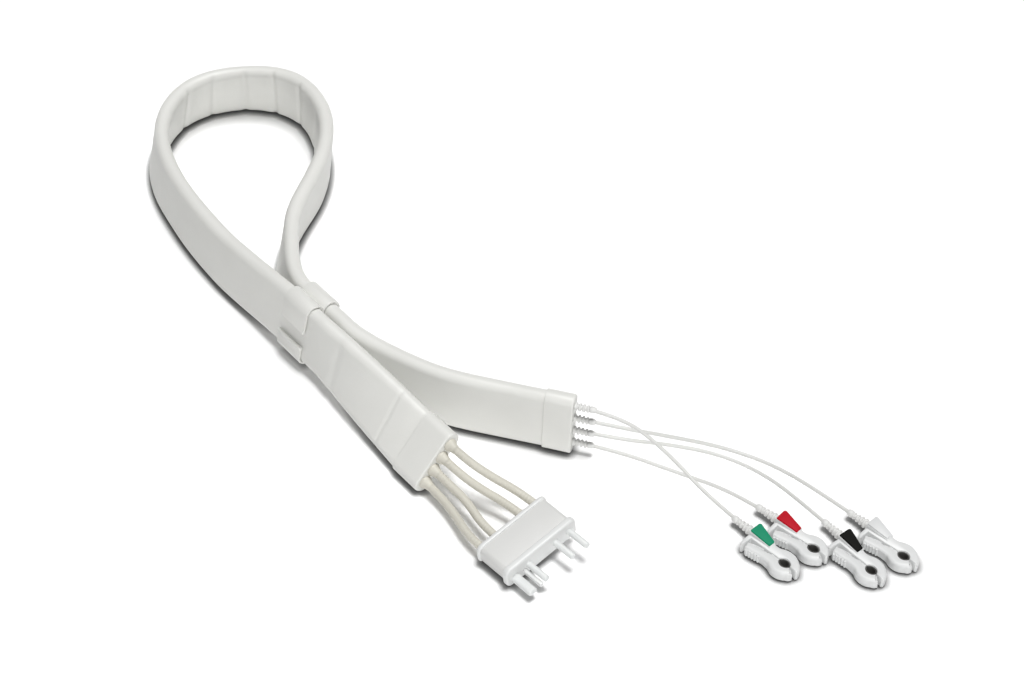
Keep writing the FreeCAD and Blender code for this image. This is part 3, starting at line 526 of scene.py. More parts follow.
def ribs(finish: Finish, **values) -> Mesh:
    """Plain mesh of one row of ribs.

    Args:
        finish: its material.
        values: inputs of the tree, with spaces written as underscores.
    Returns:
        The mesh, in local millimetres.
    """
    obj = linked("ribs", bpy.data.meshes.new("ribs"))
    row = obj.modifiers.new("ribs", "NODES")
    row.node_group = rib_tree()
    values["Material"] = finish.material()
    for socket in row.node_group.interface.items_tree:
        key = socket.name.replace(" ", "_")
        if socket.in_out == "INPUT" and key in values:
            row[socket.identifier] = values[key]
    mesh = evaluated(obj)
    bpy.data.objects.remove(obj)
    return mesh


@dataclass
class Ribbon:
    """Padded flat sleeve on its edge: plug end, keeper, loop, keeper again, lead end.

    swell holds the height, run along and run across of each soft wave of the skin, slant how far a crease
    leans, and shoulder the height, place in thicknesses and half width of the welded edge.
    """

    width: float = 39.0
    thick: float = 9.5
    pitch: float = 12.1
    cable_pitch: float = 8.8
    keeper_place: tuple = (-122.9, -22.5)
    keeper_heading: float = -51.0
    keeper_lean: float = 15.0
    keeper_length: float = 23.0
    keeper_travel: float = 12.0
    margin: float = 2.0
    rear_lift: float = 1.9
    cap_lift: float = 0.9
    cap_end: float = 2.3
    plug_tail: float = 135.0
    plug_cap: float = 22.0
    plug_lean: float = 45.0
    lead_place: tuple = (41.0, -100.5)
    lead_heading: float = -16.5
    lead_cap: float = 17.5
    lead_lean: float = -8.0
    step: float = 1.0
    square: float = 0.9
    passes: int = 14
    blur: int = 2
    fade: int = 6
    fill: float = 0.85
    swell: tuple = ((0.12, 19.0, 11.0), (0.07, 8.3, -7.0))
    slant: float = 0.05
    shoulder: tuple = (0.3, 0.42, 0.9)
    loop: tuple = ((-174, 40.5, 13), (-209, 95.5, 10), (-226, 156.5, 13), (-211, 194.5, 11), (-173, 209.5, 10),
                   (-141, 200.5, 1), (-119, 158.5, -8), (-122, 109.5, -6), (-134, 68.5, -10), (-135, 40.5, -13))
    tail: tuple = ((-72.5, -55.5, -11), (-37, -76, -9), (5, -89.5, -8))
    rows: list = field(default_factory=list)
    free: list = field(default_factory=list)

    def section(self, place: Vector, along: Vector, lean: float, lift: float) -> tuple:
        """Middle, direction of travel, thickness and width of one cross-section.

        Args:
            place: place on the table.
            along: direction of travel.
            lean: angle from upright, in degrees.
            lift: height of the lower edge.
        Returns:
            Four vectors.
        """
        angle = math.radians(lean)
        side = Vector((along.y, -along.x, 0))
        up = Vector((0, 0, 1))
        width = up * math.cos(angle) + side * math.sin(angle)
        thick = side * math.cos(angle) - up * math.sin(angle)
        radius = self.thick / 2
        height = lift + radius + (self.width / 2 - radius) * math.cos(angle)
        return Vector((place[0], place[1], height)), along, thick, width

    def spline(self, knots: np.ndarray, first: Vector, last: Vector) -> np.ndarray:
        """Points along a smooth curve through knots with set end directions.

        Args:
            knots: rows of x, y, lean and lift.
            first: direction at the start.
            last: direction at the end.
        Returns:
            Rows of x, y, lean and lift, closely spaced.
        """
        runs = np.hypot(*np.diff(knots[:, :2], axis=0).T)
        marks = np.concatenate([[0], np.cumsum(runs)])
        count = len(knots)
        grid, right = np.zeros((count, count)), np.zeros((count, 2))
        grid[0, 0] = grid[-1, -1] = 1
        right[0], right[-1] = first[:2], last[:2]
        for i in range(1, count - 1):
            a, b = runs[i - 1], runs[i]
            grid[i, i - 1:i + 2] = b, 2 * (a + b), a
            here = knots[i, :2]
            right[i] = 3 * (b / a * (here - knots[i - 1, :2]) + a / b * (knots[i + 1, :2] - here))
        slopes = np.linalg.solve(grid, right)
        rows = []
        for mark in np.linspace(0, marks[-1], int(marks[-1] / self.step) + 1):
            i = min(int(np.searchsorted(marks, mark, "right")) - 1, count - 2)
            t = (mark - marks[i]) / runs[i]
            place = ((2 * t**3 - 3 * t**2 + 1) * knots[i, :2] + (t**3 - 2 * t**2 + t) * runs[i] * slopes[i]
                     + (3 * t**2 - 2 * t**3) * knots[i + 1, :2] + (t**3 - t**2) * runs[i] * slopes[i + 1])
            rows.append([*place, *((1 - t) * knots[i, 2:] + t * knots[i + 1, 2:])])
        return np.array(rows)

    def route(self) -> list:
        """Every cross-section in order, from the plug end to the lead end.

        Returns:
            One section a step, as section gives it.
        """
        caps = heading(self.keeper_heading)
        lean = self.keeper_lean
        shift = Vector((-caps.y, caps.x, 0)) * self.pitch * math.cos(math.radians(lean))
        front_lift = self.rear_lift + self.pitch * math.sin(math.radians(lean))
        start = Vector((*self.keeper_place, 0))
        loop_end = -self.keeper_length / 2 - self.margin
        cap_end = self.keeper_length / 2 + self.keeper_travel + self.margin
        mouth = self.plug_tail - self.plug_cap - self.margin
        lead_along = heading(self.lead_heading)
        lead = Vector((*self.lead_place, 0))

        def row(place: Vector, turn: float, lift: float) -> list:
            """Place, lean and lift in one row."""
            return [place.x, place.y, turn, lift]

        def line(a: list, b: list) -> np.ndarray:
            """Even rows between two rows."""
            count = max(2, int(math.dist(a[:2], b[:2]) / self.step))
            return np.linspace(a, b, count)

        stop = row(start + caps * (self.plug_tail - self.cap_end), self.plug_lean, self.cap_lift)
        held = row(start + caps * mouth, self.plug_lean, self.cap_lift)
        front = row(start + caps * cap_end, lean, front_lift)
        turn = row(start + caps * loop_end, lean, front_lift)
        back = row(start + shift + caps * loop_end, -lean, self.rear_lift)
        away = row(start + shift + caps * cap_end, -lean, self.rear_lift)
        inlet = row(lead - lead_along * (self.lead_cap + self.margin), self.lead_lean, self.cap_lift)
        end = row(lead - lead_along * self.cap_end, self.lead_lean, self.cap_lift)
        loop = np.array([turn] + [[x, y, a, 0.0] for x, y, a in self.loop] + [back])
        tail = np.array([away] + [[x, y, a, 0.0] for x, y, a in self.tail] + [inlet])
        parts = [line(stop, held), line(held, front), line(front, turn), self.spline(loop, -caps, caps),
                 line(back, away), self.spline(tail, caps, lead_along), line(inlet, end)]
        rows = np.concatenate([parts[0]] + [part[1:] for part in parts[1:]])
        # lean and lift change softly, except in the caps and where the keeper slides
        sizes = [len(parts[0])] + [len(part) - 1 for part in parts[1:]]
        still = np.repeat([True, False, True, False, True, False, True], sizes)
        kept = rows[still, 2:].copy()
        span, reach = 2 * self.blur + 1, 2 * self.fade + 1
        for _ in range(self.passes):
            wide = np.pad(rows[:, 2:], ((self.blur, self.blur), (0, 0)), mode="edge")
            rows[:, 2:] = sum(wide[i:i + len(rows)] for i in range(span)) / span
            rows[still, 2:] = kept
        near = np.convolve(np.pad(1.0 - still, self.fade, mode="edge"), np.ones(reach) / reach, mode="valid")
        self.free = np.clip(2 * near - 1, 0, 1)
        ways = np.gradient(rows[:, :2], axis=0)
        ways /= np.linalg.norm(ways, axis=1)[:, None]
        return [self.section(Vector((*r[:2], 0)), Vector((*w, 0)), r[2], r[3]) for r, w in zip(rows, ways)]

    def outline(self, grow: float, steps: int = 10, flat_steps: int = 20) -> list:
        """Points round the ribbon's cross-section as (thick, width), grown by an offset.

        Args:
            grow: the offset.
            steps: runs round each edge.
            flat_steps: runs across each face.
        Returns:
            The points in order.
        """
        radius, half = self.thick / 2, self.width / 2 - self.thick / 2
        points = []
        for end in (1, -1):
            for i in range(steps + 1):
                angle = math.pi * i / steps
                flat, rim = math.cos(angle), math.sin(angle)
                points.append((end * (radius + grow) * math.copysign(abs(flat) ** self.square, flat),
                               end * (half + (radius + grow) * abs(rim) ** self.square)))
            points += [(-end * (radius + grow), end * half * (1 - 2 * k / flat_steps))
                       for k in range(1, flat_steps)]
        return points

    def relief(self, travelled: float, thick: float, width: float) -> float:
        """How far the padded skin swells or sinks at a place, in millimetres.

        Args:
            travelled: distance from the plug end.
            thick: place across the thickness.
            width: place across the width.
        Returns:
            The height, below zero where the skin sinks.
        """
        soft = sum(high * math.sin(travelled / run + width / across) for high, run, across in self.swell)
        crease = 0.0
        for at, deep, half, side in CREASES:
            if side * thick > 0:
                crease -= deep * math.exp(-((travelled - at - width * self.slant) / half) ** 2)
        # welded edge: a low shoulder where the flat face turns into the round edge
        high, place, half = self.shoulder
        shoulder = high * math.exp(-((abs(width) - self.width / 2 + self.thick * place) / half) ** 2)
        return soft + crease + shoulder

    def build(self) -> None:
        """Sleeve as one soft skin that replaces the plain solid."""
        self.rows = self.route()
        rings, travelled, last = [], 0.0, self.rows[0][0]
        for (place, _, thick, width), free in zip(self.rows, self.free):
            travelled += (place - last).length
            last = place
            ring = []
            for t, w in self.outline(0.0):
                scale = 1 + free * self.relief(travelled, t, w) / (self.thick / 2)
                ring.append(place + thick * t * scale + width * w)
            rings.append(ring)
        sleeve = piece("ribbon_sleeve_skin", loft(rings), Matrix.Scale(MM, 4), SLEEVE, ROOT, "sleeve",
                       "ribbon_sleeve", smooth=60)

    def exit(self, end: int, rank: float) -> Vector:
        """Middle of one cable where the ribbon stops, in millimetres."""
        place, _, _, width = self.rows[end]
        return place + width * (rank * self.cable_pitch)


# Soft folds of the padded skin: place along the ribbon, depth, half length and side (1 is the right of travel)
CREASES = (
    (40.5, 0.5, 0.9, -1), (41.0, 0.35, 0.9, 1), (91.5, 0.5, 3.0, -1), (100.0, 0.25, 5.0, 1),
    (352.0, 0.4, 3.0, 1), (379.0, 1.0, 2.0, 1), (402.5, 0.9, 2.0, 1), (425.5, 1.0, 2.0, 1),
    (447.0, 1.4, 1.9, 1), (471.0, 1.0, 2.2, 1), (502.0, 0.6, 3.0, 1), (610.0, 0.3, 6.0, -1),
)


@dataclass
class EndCap:
    """Moulded cup over an end of the ribbon."""

    name: str
    length: float
    end: int
    wall: float = 0.8
    gap: float = 0.1
    seat: float = 2.3
    edge: float = 1.1
    lap: float = 2.0
    flare: float = 0.15
    lip: float = 0.25

    def build(self, ribbon: Ribbon) -> Matrix:
        """Makes the cup and returns the frame of its end face.

        Args:
            ribbon: the ribbon that it sits on.
        Returns:
            The frame, with X out of the ribbon.
        """
        place, along, _, width = ribbon.rows[self.end]
        out = along if self.end else -along
        spot = frame_at(place + out * self.seat, out, width)
        outer = self.gap + self.wall

        def ring(x: float, grow: float) -> list:
            """The ribbon's outline at a place along the cup, grown by an offset."""
            return [(x, t, w) for t, w in ribbon.outline(grow, steps=16)]

        rings = [ring(-self.length + self.lap, self.gap / 2), ring(-self.length, self.gap / 2 + self.flare),
                 ring(-self.length, outer - self.lip), ring(-self.length + self.lip, outer)]
        rings += [ring(-self.edge + self.edge * sine, outer - self.edge * (1 - cosine))
                  for sine, cosine in quarter(6)]
        piece(f"{self.name}_shell", loft(rings, False, True), spot, SHELL, ROOT, "cap", self.name, smooth=40)
        return spot


@dataclass
class Keeper:
    """Double channel that slides along the two strands."""

    length: float = 23.0
    wall: float = 1.5
    gap: float = 0.4
    window: float = 9.8
    drop: float = 2.8
    edge: float = 0.45
    bead_shape: tuple = ((0, 2.6), (0.35, 2.1), (0.6, 1.5), (0.65, 0.9), (0.45, 0.35), (0.1, 0.05))

    def bead(self, outer: float, inner: float, lip: float, away: int) -> list:
        """Thick lip of the window, from the outer face round to the inner one; away points off the window."""
        return [(-outer - out, lip + away * up) for out, up in self.bead_shape] + [(-inner, lip)]

    def profile(self, ribbon: Ribbon, steps: int = 14) -> list:
        """Outline across the strands, as (across, up) places, one closed line.

        Args:
            ribbon: the ribbon that it holds.
            steps: runs in each half turn.
        Returns:
            The places.
        """
        inner = ribbon.thick / 2 + self.gap
        outer, half, pitch = inner + self.wall, ribbon.width / 2 - ribbon.thick / 2, ribbon.pitch
        low = -self.window / 2 - self.drop
        high = low + self.window
        meet = math.acos(pitch / 2 / outer)

        def bow(y: float, z: float, radius: float, first: float, last: float) -> list:
            """Places along an arc."""
            return [(y + radius * math.cos(first + (last - first) * i / steps),
                     z + radius * math.sin(first + (last - first) * i / steps)) for i in range(steps + 1)]

        pi = math.pi
        return [*self.bead(outer, inner, low, -1)[::-1][1:], *bow(0, -half, outer, pi, 2 * pi - meet),
                *bow(pitch, -half, outer, pi + meet, 2 * pi), (pitch + outer, low), (pitch + inner, low),
                *bow(pitch, -half, inner, 2 * pi, pi),
                *bow(pitch, half, inner, pi, 0), (pitch + inner, high), (pitch + outer, high),
                *bow(pitch, half, outer, 0, pi - meet), *bow(0, half, outer, meet, pi),
                *self.bead(outer, inner, high, 1), *bow(0, half, inner, pi, 0), *bow(0, -half, inner, 0, -pi),
                (-inner, low)]

    def build(self, ribbon: Ribbon) -> None:
        """Makes the keeper at its rest place.

        Args:
            ribbon: the ribbon that it holds.
        """
        caps = heading(ribbon.keeper_heading)
        lift = ribbon.rear_lift + ribbon.pitch * math.sin(math.radians(ribbon.keeper_lean))
        place, _, _, width = ribbon.section(Vector((*ribbon.keeper_place, 0)), -caps, ribbon.keeper_lean, lift)
        points = self.profile(ribbon)
        rings = [[(x, y, z) for y, z in points] for x in (-self.length / 2, self.length / 2)]
        mesh = soften(loft(rings), self.edge, angle=50, segments=3)
        spot = frame_at(place, caps, width)
        piece("loop_keeper_moulding", mesh, spot, SHELL, "keeper", "keeper", "loop_keeper")


@dataclass
class Cord:
    """Free cord on a smooth line through its given points, in millimetres."""

    name: str
    points: list
    diameter: float
    finish: Finish
    slot: str
    thin: float = 3.0

    def build(self) -> None:
        curve = bpy.data.curves.new(self.name, "CURVE")
        curve.dimensions = "3D"
        spline = curve.splines.new("NURBS")
        spline.points.add(len(self.points) - 1)
        for point, place in zip(spline.points, self.points):
            point.co = (*(Vector(place) * MM), 1.0)
        spline.order_u = 3
        spline.use_endpoint_u = True
        spline.resolution_u = 16
        line = linked("line", curve)
        path = evaluated(line)
        ends = ([path.vertices[i].co for i in edge.vertices] for edge in path.edges)
        length = sum((a - b).length for a, b in ends)
        bpy.data.objects.remove(line)
        curve.bevel_depth = self.diameter / 2 * MM
        curve.bevel_resolution = 6
        curve.use_fill_caps = True
        curve.materials.append(self.finish.material())
        obj = linked(f"{self.name}_sheath", curve)
        # a line this thin throws no shadow that shows under broad light
        obj.visible_shadow = self.diameter > self.thin
        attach(obj, ROOT)
        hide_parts(self.name)
        LOG.info("%s: %.0f mm", self.name, length / MM)


@dataclass
class Plug:
    """Flat plug: shell, front plate with key, three pins and a flat contact.

    Each pair of edges holds the rear and front rounding; lip holds its start, end and how far it stands proud;
    nose and barrel_end hold steps along a pin and how far each lies under the full radius; least_side is the
    least side of a block, in corner radii.
    """

    place: tuple = (4.6, -169.7, 0.0)
    turn: float = -47.0
    roll: float = 6.0
    width: float = 50.5
    height: float = 11.5
    depth: float = 22.0
    corner: float = 3.0
    plate: float = 4.0
    plate_gap: float = 0.15
    plate_round: float = 0.6
    proud: float = 1.4
    rows: tuple = (21.0, 10.25, -10.25, -21.0)
    pin: float = 4.0
    pin_length: float = 15.0
    nose: tuple = ((0.6, 0.0), (0.25, 0.18), (0.0, 0.6))
    lip: tuple = (-0.4, 2.7, 0.8)
    lip_round: float = 0.5
    blade: tuple = (5.8, 3.6)
    blade_drop: float = 1.6
    blade_root: float = 0.3
    blade_round: float = 1.6
    barrel: float = 4.4
    barrel_end: tuple = ((0.5, 0.0), (0.8, 0.15))
    cable_stop: float = 6.5
    key: tuple = (14.0, 2.6, 2.6)
    key_offset: float = 4.5
    key_root: float = 0.5
    key_round: float = 0.5
    shell_edges: tuple = (1.8, 0.25)
    lip_edges: tuple = (1.4, 0.9)
    plate_edges: tuple = (0.6, 1.1)
    key_edges: tuple = (0.1, 0.6)
    blade_edges: tuple = (0.2, 0.8)
    least_side: float = 2.05

    @property
    def middle(self) -> float:
        """Height of the cables and pins above the plate's underside."""
        return self.height / 2 + self.proud

    @property
    def ways(self) -> tuple[Vector, Vector, Vector]:
        """Directions of the pins, of the row of pins and of the plug's top.

        Returns:
            Three unit vectors.
        """
        along, roll = heading(self.turn), math.radians(self.roll)
        side, up = Vector((-along.y, along.x, 0)), Vector((0, 0, 1))
        sine, cosine = math.sin(roll), math.cos(roll)
        return along, side * cosine + up * sine, up * cosine - side * sine

    @property
    def heart(self) -> Vector:
        """Middle of the shell's rear face; the plug rests on one edge of its plate.

        Returns:
            The place, in millimetres.
        """
        roll, corner = math.radians(self.roll), self.corner + self.plate_round
        lift = (self.width / 2 + self.proud - corner) * math.sin(roll) + corner * (1 - math.cos(roll))
        return Vector(self.place) + Vector((0, 0, lift)) + self.ways[2] * self.middle

    def ring(self, x: float, width: float, height: float, corner: float, y: float, z: float) -> list:
        """Rounded rectangle across X.

        Args:
            x: place along the plug.
            width: size across.
            height: size upward.
            corner: its rounding.
            y: its middle across.
            z: its middle upward.
        Returns:
            The points in order.
        """
        points, steps = [], 8
        for sy, sz, turn in ((1, 1, 0), (-1, 1, 90), (-1, -1, 180), (1, -1, 270)):
            for i in range(steps + 1):
                angle = math.radians(turn + 90 * i / steps)
                points.append((x, y + sy * (width / 2 - corner) + corner * math.cos(angle),
                               z + sz * (height / 2 - corner) + corner * math.sin(angle)))
        return points

    def block(self, spans: list, corner: float, y: float = 0.0, z: float = 0.0) -> Mesh:
        """Skin through rounded rectangles given as (x, width, height)."""
        slim = self.least_side
        return loft([self.ring(x, w, h, min(corner, w / slim, h / slim), y, z) for x, w, h in spans])

    def rounded(self, start: float, end: float, width: float, height: float, edges: tuple) -> list:
        """Spans of a block whose rear and front edges are rounded by two radii.

        Args:
            start: rear end.
            end: front end.
            width: size across.
            height: size upward.
            edges: the two radii.
        Returns:
            Spans as (x, width, height).
        """
        back, front = edges
        spans = [(start + back * (1 - cosine), 2 * back * (1 - sine)) for sine, cosine in quarter(6)]
        spans += [(end - front + front * sine, 2 * front * (1 - cosine)) for sine, cosine in quarter(6)]
        return [(x, width - cut, height - cut) for x, cut in spans]

    def build(self) -> None:
        """Makes the plug's pieces."""
        along, _, upward = self.ways
        spot = frame_at(self.heart, along, upward)
        shell = self.rounded(0, self.depth, self.width, self.height, self.shell_edges)
        piece("plug_shell", self.block(shell, self.corner), spot, ABS, ROOT, "plug", "plug_housing")
        start, end, proud = self.lip
        lip = self.rounded(start, end, self.width + 2 * proud, self.height + 2 * proud, self.lip_edges)
        # the rear lip wears the paler copy of the ABS: a painted highlight
        piece("plug_rear_lip", self.block(lip, self.corner + self.lip_round), spot, ABS_PAINTED_HIGHLIGHT, ROOT, "plug")
        front = self.depth + self.plate
        flange = self.rounded(self.depth + self.plate_gap, front, self.width + 2 * self.proud,
                              self.height + 2 * self.proud, self.plate_edges)
        length, wide, high = self.key
        key_y = self.rows[3] + self.blade[0] / 2 + self.key_offset
        key = self.rounded(front - self.key_root, front + length, wide, high, self.key_edges)
        plate = merged([self.block(flange, self.corner + self.plate_round),
                        self.block(key, self.key_round, key_y, -self.blade_drop - high / 2)])
        # the front plate wears the same paler ABS: a painted highlight
        piece("plug_front_plate", plate, spot, ABS_PAINTED_HIGHLIGHT, ROOT, "plug", "plug_plate")
        tip, radius, barrel = front + self.pin_length, self.pin / 2, self.barrel / 2
        turned = [(self.cable_stop, AXIS), (self.cable_stop, barrel),
                  *((front + x, barrel - under) for x, under in self.barrel_end),
                  (front + self.barrel_end[-1][0], radius),
                  *((tip - x, radius - under) for x, under in self.nose), (tip, AXIS)]
        for number, row in enumerate(self.rows[:3], 1):
            mesh = lathe(turned)
            mesh.transform(Matrix.Translation((0, row, 0)))
            piece(f"contact_pin_{number}_turned", mesh, spot, ACETAL, ROOT, "contact", f"contact_pin_{number}")
        bar = self.block(self.rounded(self.depth + self.blade_root, tip, *self.blade, self.blade_edges),
                         self.blade_round, self.rows[3], -self.blade_drop)
        piece("contact_blade_moulded", bar, spot, ACETAL, ROOT, "contact", "contact_blade")


@dataclass
class Boot:
    """Ribbed strain relief on a thin lead.

    bulb_shape holds shares of the collar's length and of the bulb's radius; bead and first are in pitches.
    """

    ribs: int
    pitch: float
    root: float
    tip: float
    flange: float
    collar: float
    bulb: float
    bore: float = 1.1
    neck_drop: float = 1.0
    edge: float = 0.25
    shoulder: tuple = (0.35, 0.3)
    bulb_shape: tuple = ((0.06, 0.78), (0.14, 0.92), (0.28, 1.0), (0.55, 0.98), (0.78, 0.9), (0.92, 0.76),
                         (1.0, 0.6))
    bead: float = 0.33
    first: float = 0.7

    @property
    def length(self) -> float:
        """Length from the root face to the tip."""
        return self.flange + self.ribs * self.pitch + self.collar

    def mesh(self) -> Mesh:
        """Tapered core with its ribs and its bulb; the root is at x = 0 and the tip towards +X.

        Returns:
            The mesh, in local millimetres.
        """
        root, tip, bulb, total = self.root / 2, self.tip / 2, self.bulb / 2, self.length
        neck = total - self.collar
        back, drop = self.shoulder
        core = [(0, self.bore), (0, root - self.edge), (self.edge, root), (self.flange - back, root),
                (self.flange, root - drop), (self.flange + self.edge, root - self.neck_drop),
                (neck, tip - self.neck_drop), *((neck + self.collar * x, bulb * r) for x, r in self.bulb_shape),
                (total, self.bore), (0, self.bore)]
        bead = self.pitch * self.bead
        row = ribs(BOOT, Count=self.ribs, Step=self.pitch, First_Radius=root - bead, Last_Radius=tip - bead,
                   Rib_Radius=bead, Bars=False)
        row.transform(Matrix.Translation((self.flange + self.pitch * self.first, 0, 0)))
        return merged([lathe(core), row])


@dataclass
class Clip:
    """Pinch clip: fixed jaw with thumb wedge, lever jaw, hinge, coloured pad and contact.

    slit is half the gap at the points of the stud hole; pocket holds its inset, depth and headroom; pad its
    inset, height and rounding; ridge the radius and height of a grip ridge, ridge_step its pitch and slope;
    lining its lowest and highest height.
    """

    colour: str
    tip: tuple
    turn: float
    boot: Boot
    thick: float = 7.0
    length: float = 37.6
    boot_y: float = 3.9
    boot_z: float = 4.2
    pivot: tuple = (19.0, -0.8)
    hole: tuple = (28.0, -1.2)
    seat: tuple = (3.9, 2.8)
    bore: tuple = (3.0, 2.1)
    slit: float = 0.05
    round: float = 1.7
    rise: float = 2.2
    toe: float = 0.5
    edge: float = 0.2
    sharp: float = 40.0
    play: float = 0.3
    wedge: float = 15.0
    wedge_foot: float = 1.0
    pocket: tuple = (0.45, 0.6, 4.0)
    pad: tuple = (0.35, 1.0, 0.45)
    ridges: int = 5
    ridge: tuple = (0.72, 5.0)
    ridge_step: tuple = (1.9, 0.17)
    ridge_start: tuple = (6.5, -9.0, 3.4)
    lining: tuple = (0.8, 6.3)
    lining_gap: float = 0.02
    pin: tuple = ((0.2, AXIS), (0.2, 0.8), (0.4, 1.0), (6.2, 1.0), (6.4, 0.8), (6.4, AXIS))
    straight: float = 31.0

    @property
    def spot(self) -> Matrix:
        """Frame of the clip: its back at x = 0, its underside at z = 0.

        Returns:
            The matrix to the row frame.
        """
        along = heading(self.turn)
        aside = Vector((-along.y, along.x, 0))
        return frame_at(Vector((*self.tip, 0)) + along * self.boot.length - aside * self.boot_y, along)

    def top(self, x: float) -> float:
        """Height of the wedge's sloping top."""
        return self.thick + self.rise + (self.toe - self.rise) * x / self.wedge

    def back_corner(self, inset: float) -> list:
        """Round back corner of the wedge and of the jaw under it, drawn in by an inset."""
        return through((inset, 7.2 - inset), (0.35 + inset, 8.3 - inset), (1.6 + inset, 8.7 - inset), 6)

    def wedge_plan(self, inset: float) -> list:
        """Plan of the thumb wedge, drawn in by an inset."""
        front = self.wedge - inset
        return [(inset, inset), *self.back_corner(inset), (front, 5.5 - inset), (front, 0.5 + inset)]

    def sloped(self, plan: list, low: float | None, above: float) -> Mesh:
        """Prism on a plan up to an offset from the wedge's slope; low is a height, or None for the slope."""
        bottom = [(x, y, self.top(x) - self.pocket[1] if low is None else low) for x, y in plan]
        return loft([bottom, [(x, y, self.top(x) + above) for x, y in plan]])

    def eye(self, reach: float, half: float, up: int, forward: bool = True) -> list:
        """Half of the stud hole's pointed outline, on the fixed side (1) or the lever's side (-1).

        Args:
            reach: half its length.
            half: half its width.
            up: the side.
            forward: whether it runs from the mouth inwards.
        Returns:
            The places.
        """
        hx, hy = self.hole
        ends = [(hx + reach, hy + self.slit * up), (hx, hy + half * up), (hx - reach, hy + self.slit * up)]
        return through(*(ends if forward else ends[::-1]), 24)

    def fixed_outline(self) -> list:
        """Plan of the fixed jaw, with its share of the rounding.

        Returns:
            Places as (x, y, share).
        """
        outside = [*self.back_corner(0), *through((15, 5.6), (17.75, 5.3), (20.5, 6.1)),
                   *through((20.5, 6.1), (27.5, 7.7), (33.5, 5.0), 20)[1:],
                   *through((33.5, 5.0), (36.4, 2.3), (self.length, -1.0), 12)[1:]]
        return [(0, -3.3, 0.6), *shared(outside, 1.0), *shared([(36.6, -1.7), (34.2, -1.35)], 0.4),
                *shared(self.eye(*self.seat, 1), 0.3), *shared([(20.0, -1.2), (15, -1.7), (2.9, -1.7)], 0.25),
                *shared([(2.9, -8.2), (2.5, -8.9), (1.7, -9.0), (1.0, -8.2), (0.4, -6.6)], 0.5)]

    def lever_outline(self) -> list:
        """Plan of the lever jaw, with its share of the rounding; it meets the fixed jaw past the hinge.

        Returns:
            Places as (x, y, share).
        """
        outside = [(5.3, -9.2), *through((9.5, -8.5), (16.2, -7.4), (21.6, -7.8)),
                   *through((21.6, -7.8), (28.0, -9.3), (33.6, -6.6), 20)[1:],
                   *through((33.6, -6.6), (35.5, -5.1), (36.1, -3.6), 8)[1:]]
        return [(3.6, -4.4, 0.3), (4.3, -8.3, 0.6), *shared(outside, 1.0), (34.0, -2.2, 0.4),
                *shared(self.eye(*self.seat, -1), 0.3),
                *shared([(20.2, -1.35), (18.6, -1.75), (15, -2.7)], 0.2)]

    def build(self) -> None:
        """Makes the clip's pieces at rest."""
        spot = self.spot
        px, py = self.pivot
        name = self.colour
        inset, _, headroom = self.pocket
        body = combine(domed(self.fixed_outline(), 0, self.thick, self.round),
                       join=(self.sloped(self.wedge_plan(0.0), self.wedge_foot, 0.0),),
                       cut=(self.sloped(self.wedge_plan(inset), None, headroom),))
        piece(f"{name}_jaw", soften(body, self.edge, self.sharp), spot, CLIP, ROOT, "clip", f"{name}_clip_body")
        grip = domed(self.lever_outline(), self.play, self.thick - self.play, self.round)
        (radius, high), (step, slope) = self.ridge, self.ridge_step
        row = ribs(CLIP, Count=self.ridges, Step=step, Side_Step=step * slope, Rib_Radius=radius,
                   Bar_Height=high, Bars=True)
        row.transform(Matrix.Translation(self.ridge_start))
        lever = merged([soften(grip, self.edge, self.sharp), row])
        piece(f"{name}_lever", lever, spot, CLIP, f"{name}_lever", "clip", f"{name}_clip_lever")
        inset, high, rounding = self.pad
        pad = soften(self.sloped(self.wedge_plan(inset), None, high), rounding, self.sharp, 3)
        piece(f"{name}_thumb_pad", pad, spot, TABS[name], ROOT, f"tab_{name}", f"{name}_clip_tab")
        outer = [size - self.lining_gap for size in self.seat]
        for side, up, rider, nodes in (("jaw", 1, ROOT, (f"{name}_clip_contact",)),
                                       ("lever", -1, f"{name}_lever", ())):
            ring = slab(self.eye(*outer, up) + self.eye(*self.bore, up, False), *self.lining)
            ring = soften(ring, self.edge, self.sharp)
            piece(f"{name}_{side}_lining", ring, spot, CARBON, rider, "carbon", *nodes)
        pin = lathe(self.pin, 28)
        pin.transform(Matrix.Translation((px, py, 0)) @ Matrix.Rotation(-math.pi / 2, 4, "Y"))
        piece(f"{name}_hinge_pin", pin, spot, CLIP, ROOT, "clip", f"{name}_clip_pivot_pin")
        boot = self.boot.mesh()
        boot.transform(Matrix.Translation((0, self.boot_y, self.boot_z)) @ Matrix.Rotation(math.pi, 4, "Z"))
        piece(f"{name}_clip_sleeve", boot, spot, BOOT, ROOT, "boot", f"{name}_clip_boot")

    def run(self) -> tuple:
        """Last two points of the lead: before the boot, and at the clip's back face.

        Returns:
            The two points, in millimetres.
        """
        along = heading(self.turn)
        stop = Vector((*self.tip, self.boot_z)) + along * self.boot.length
        return stop - along * self.straight, stop


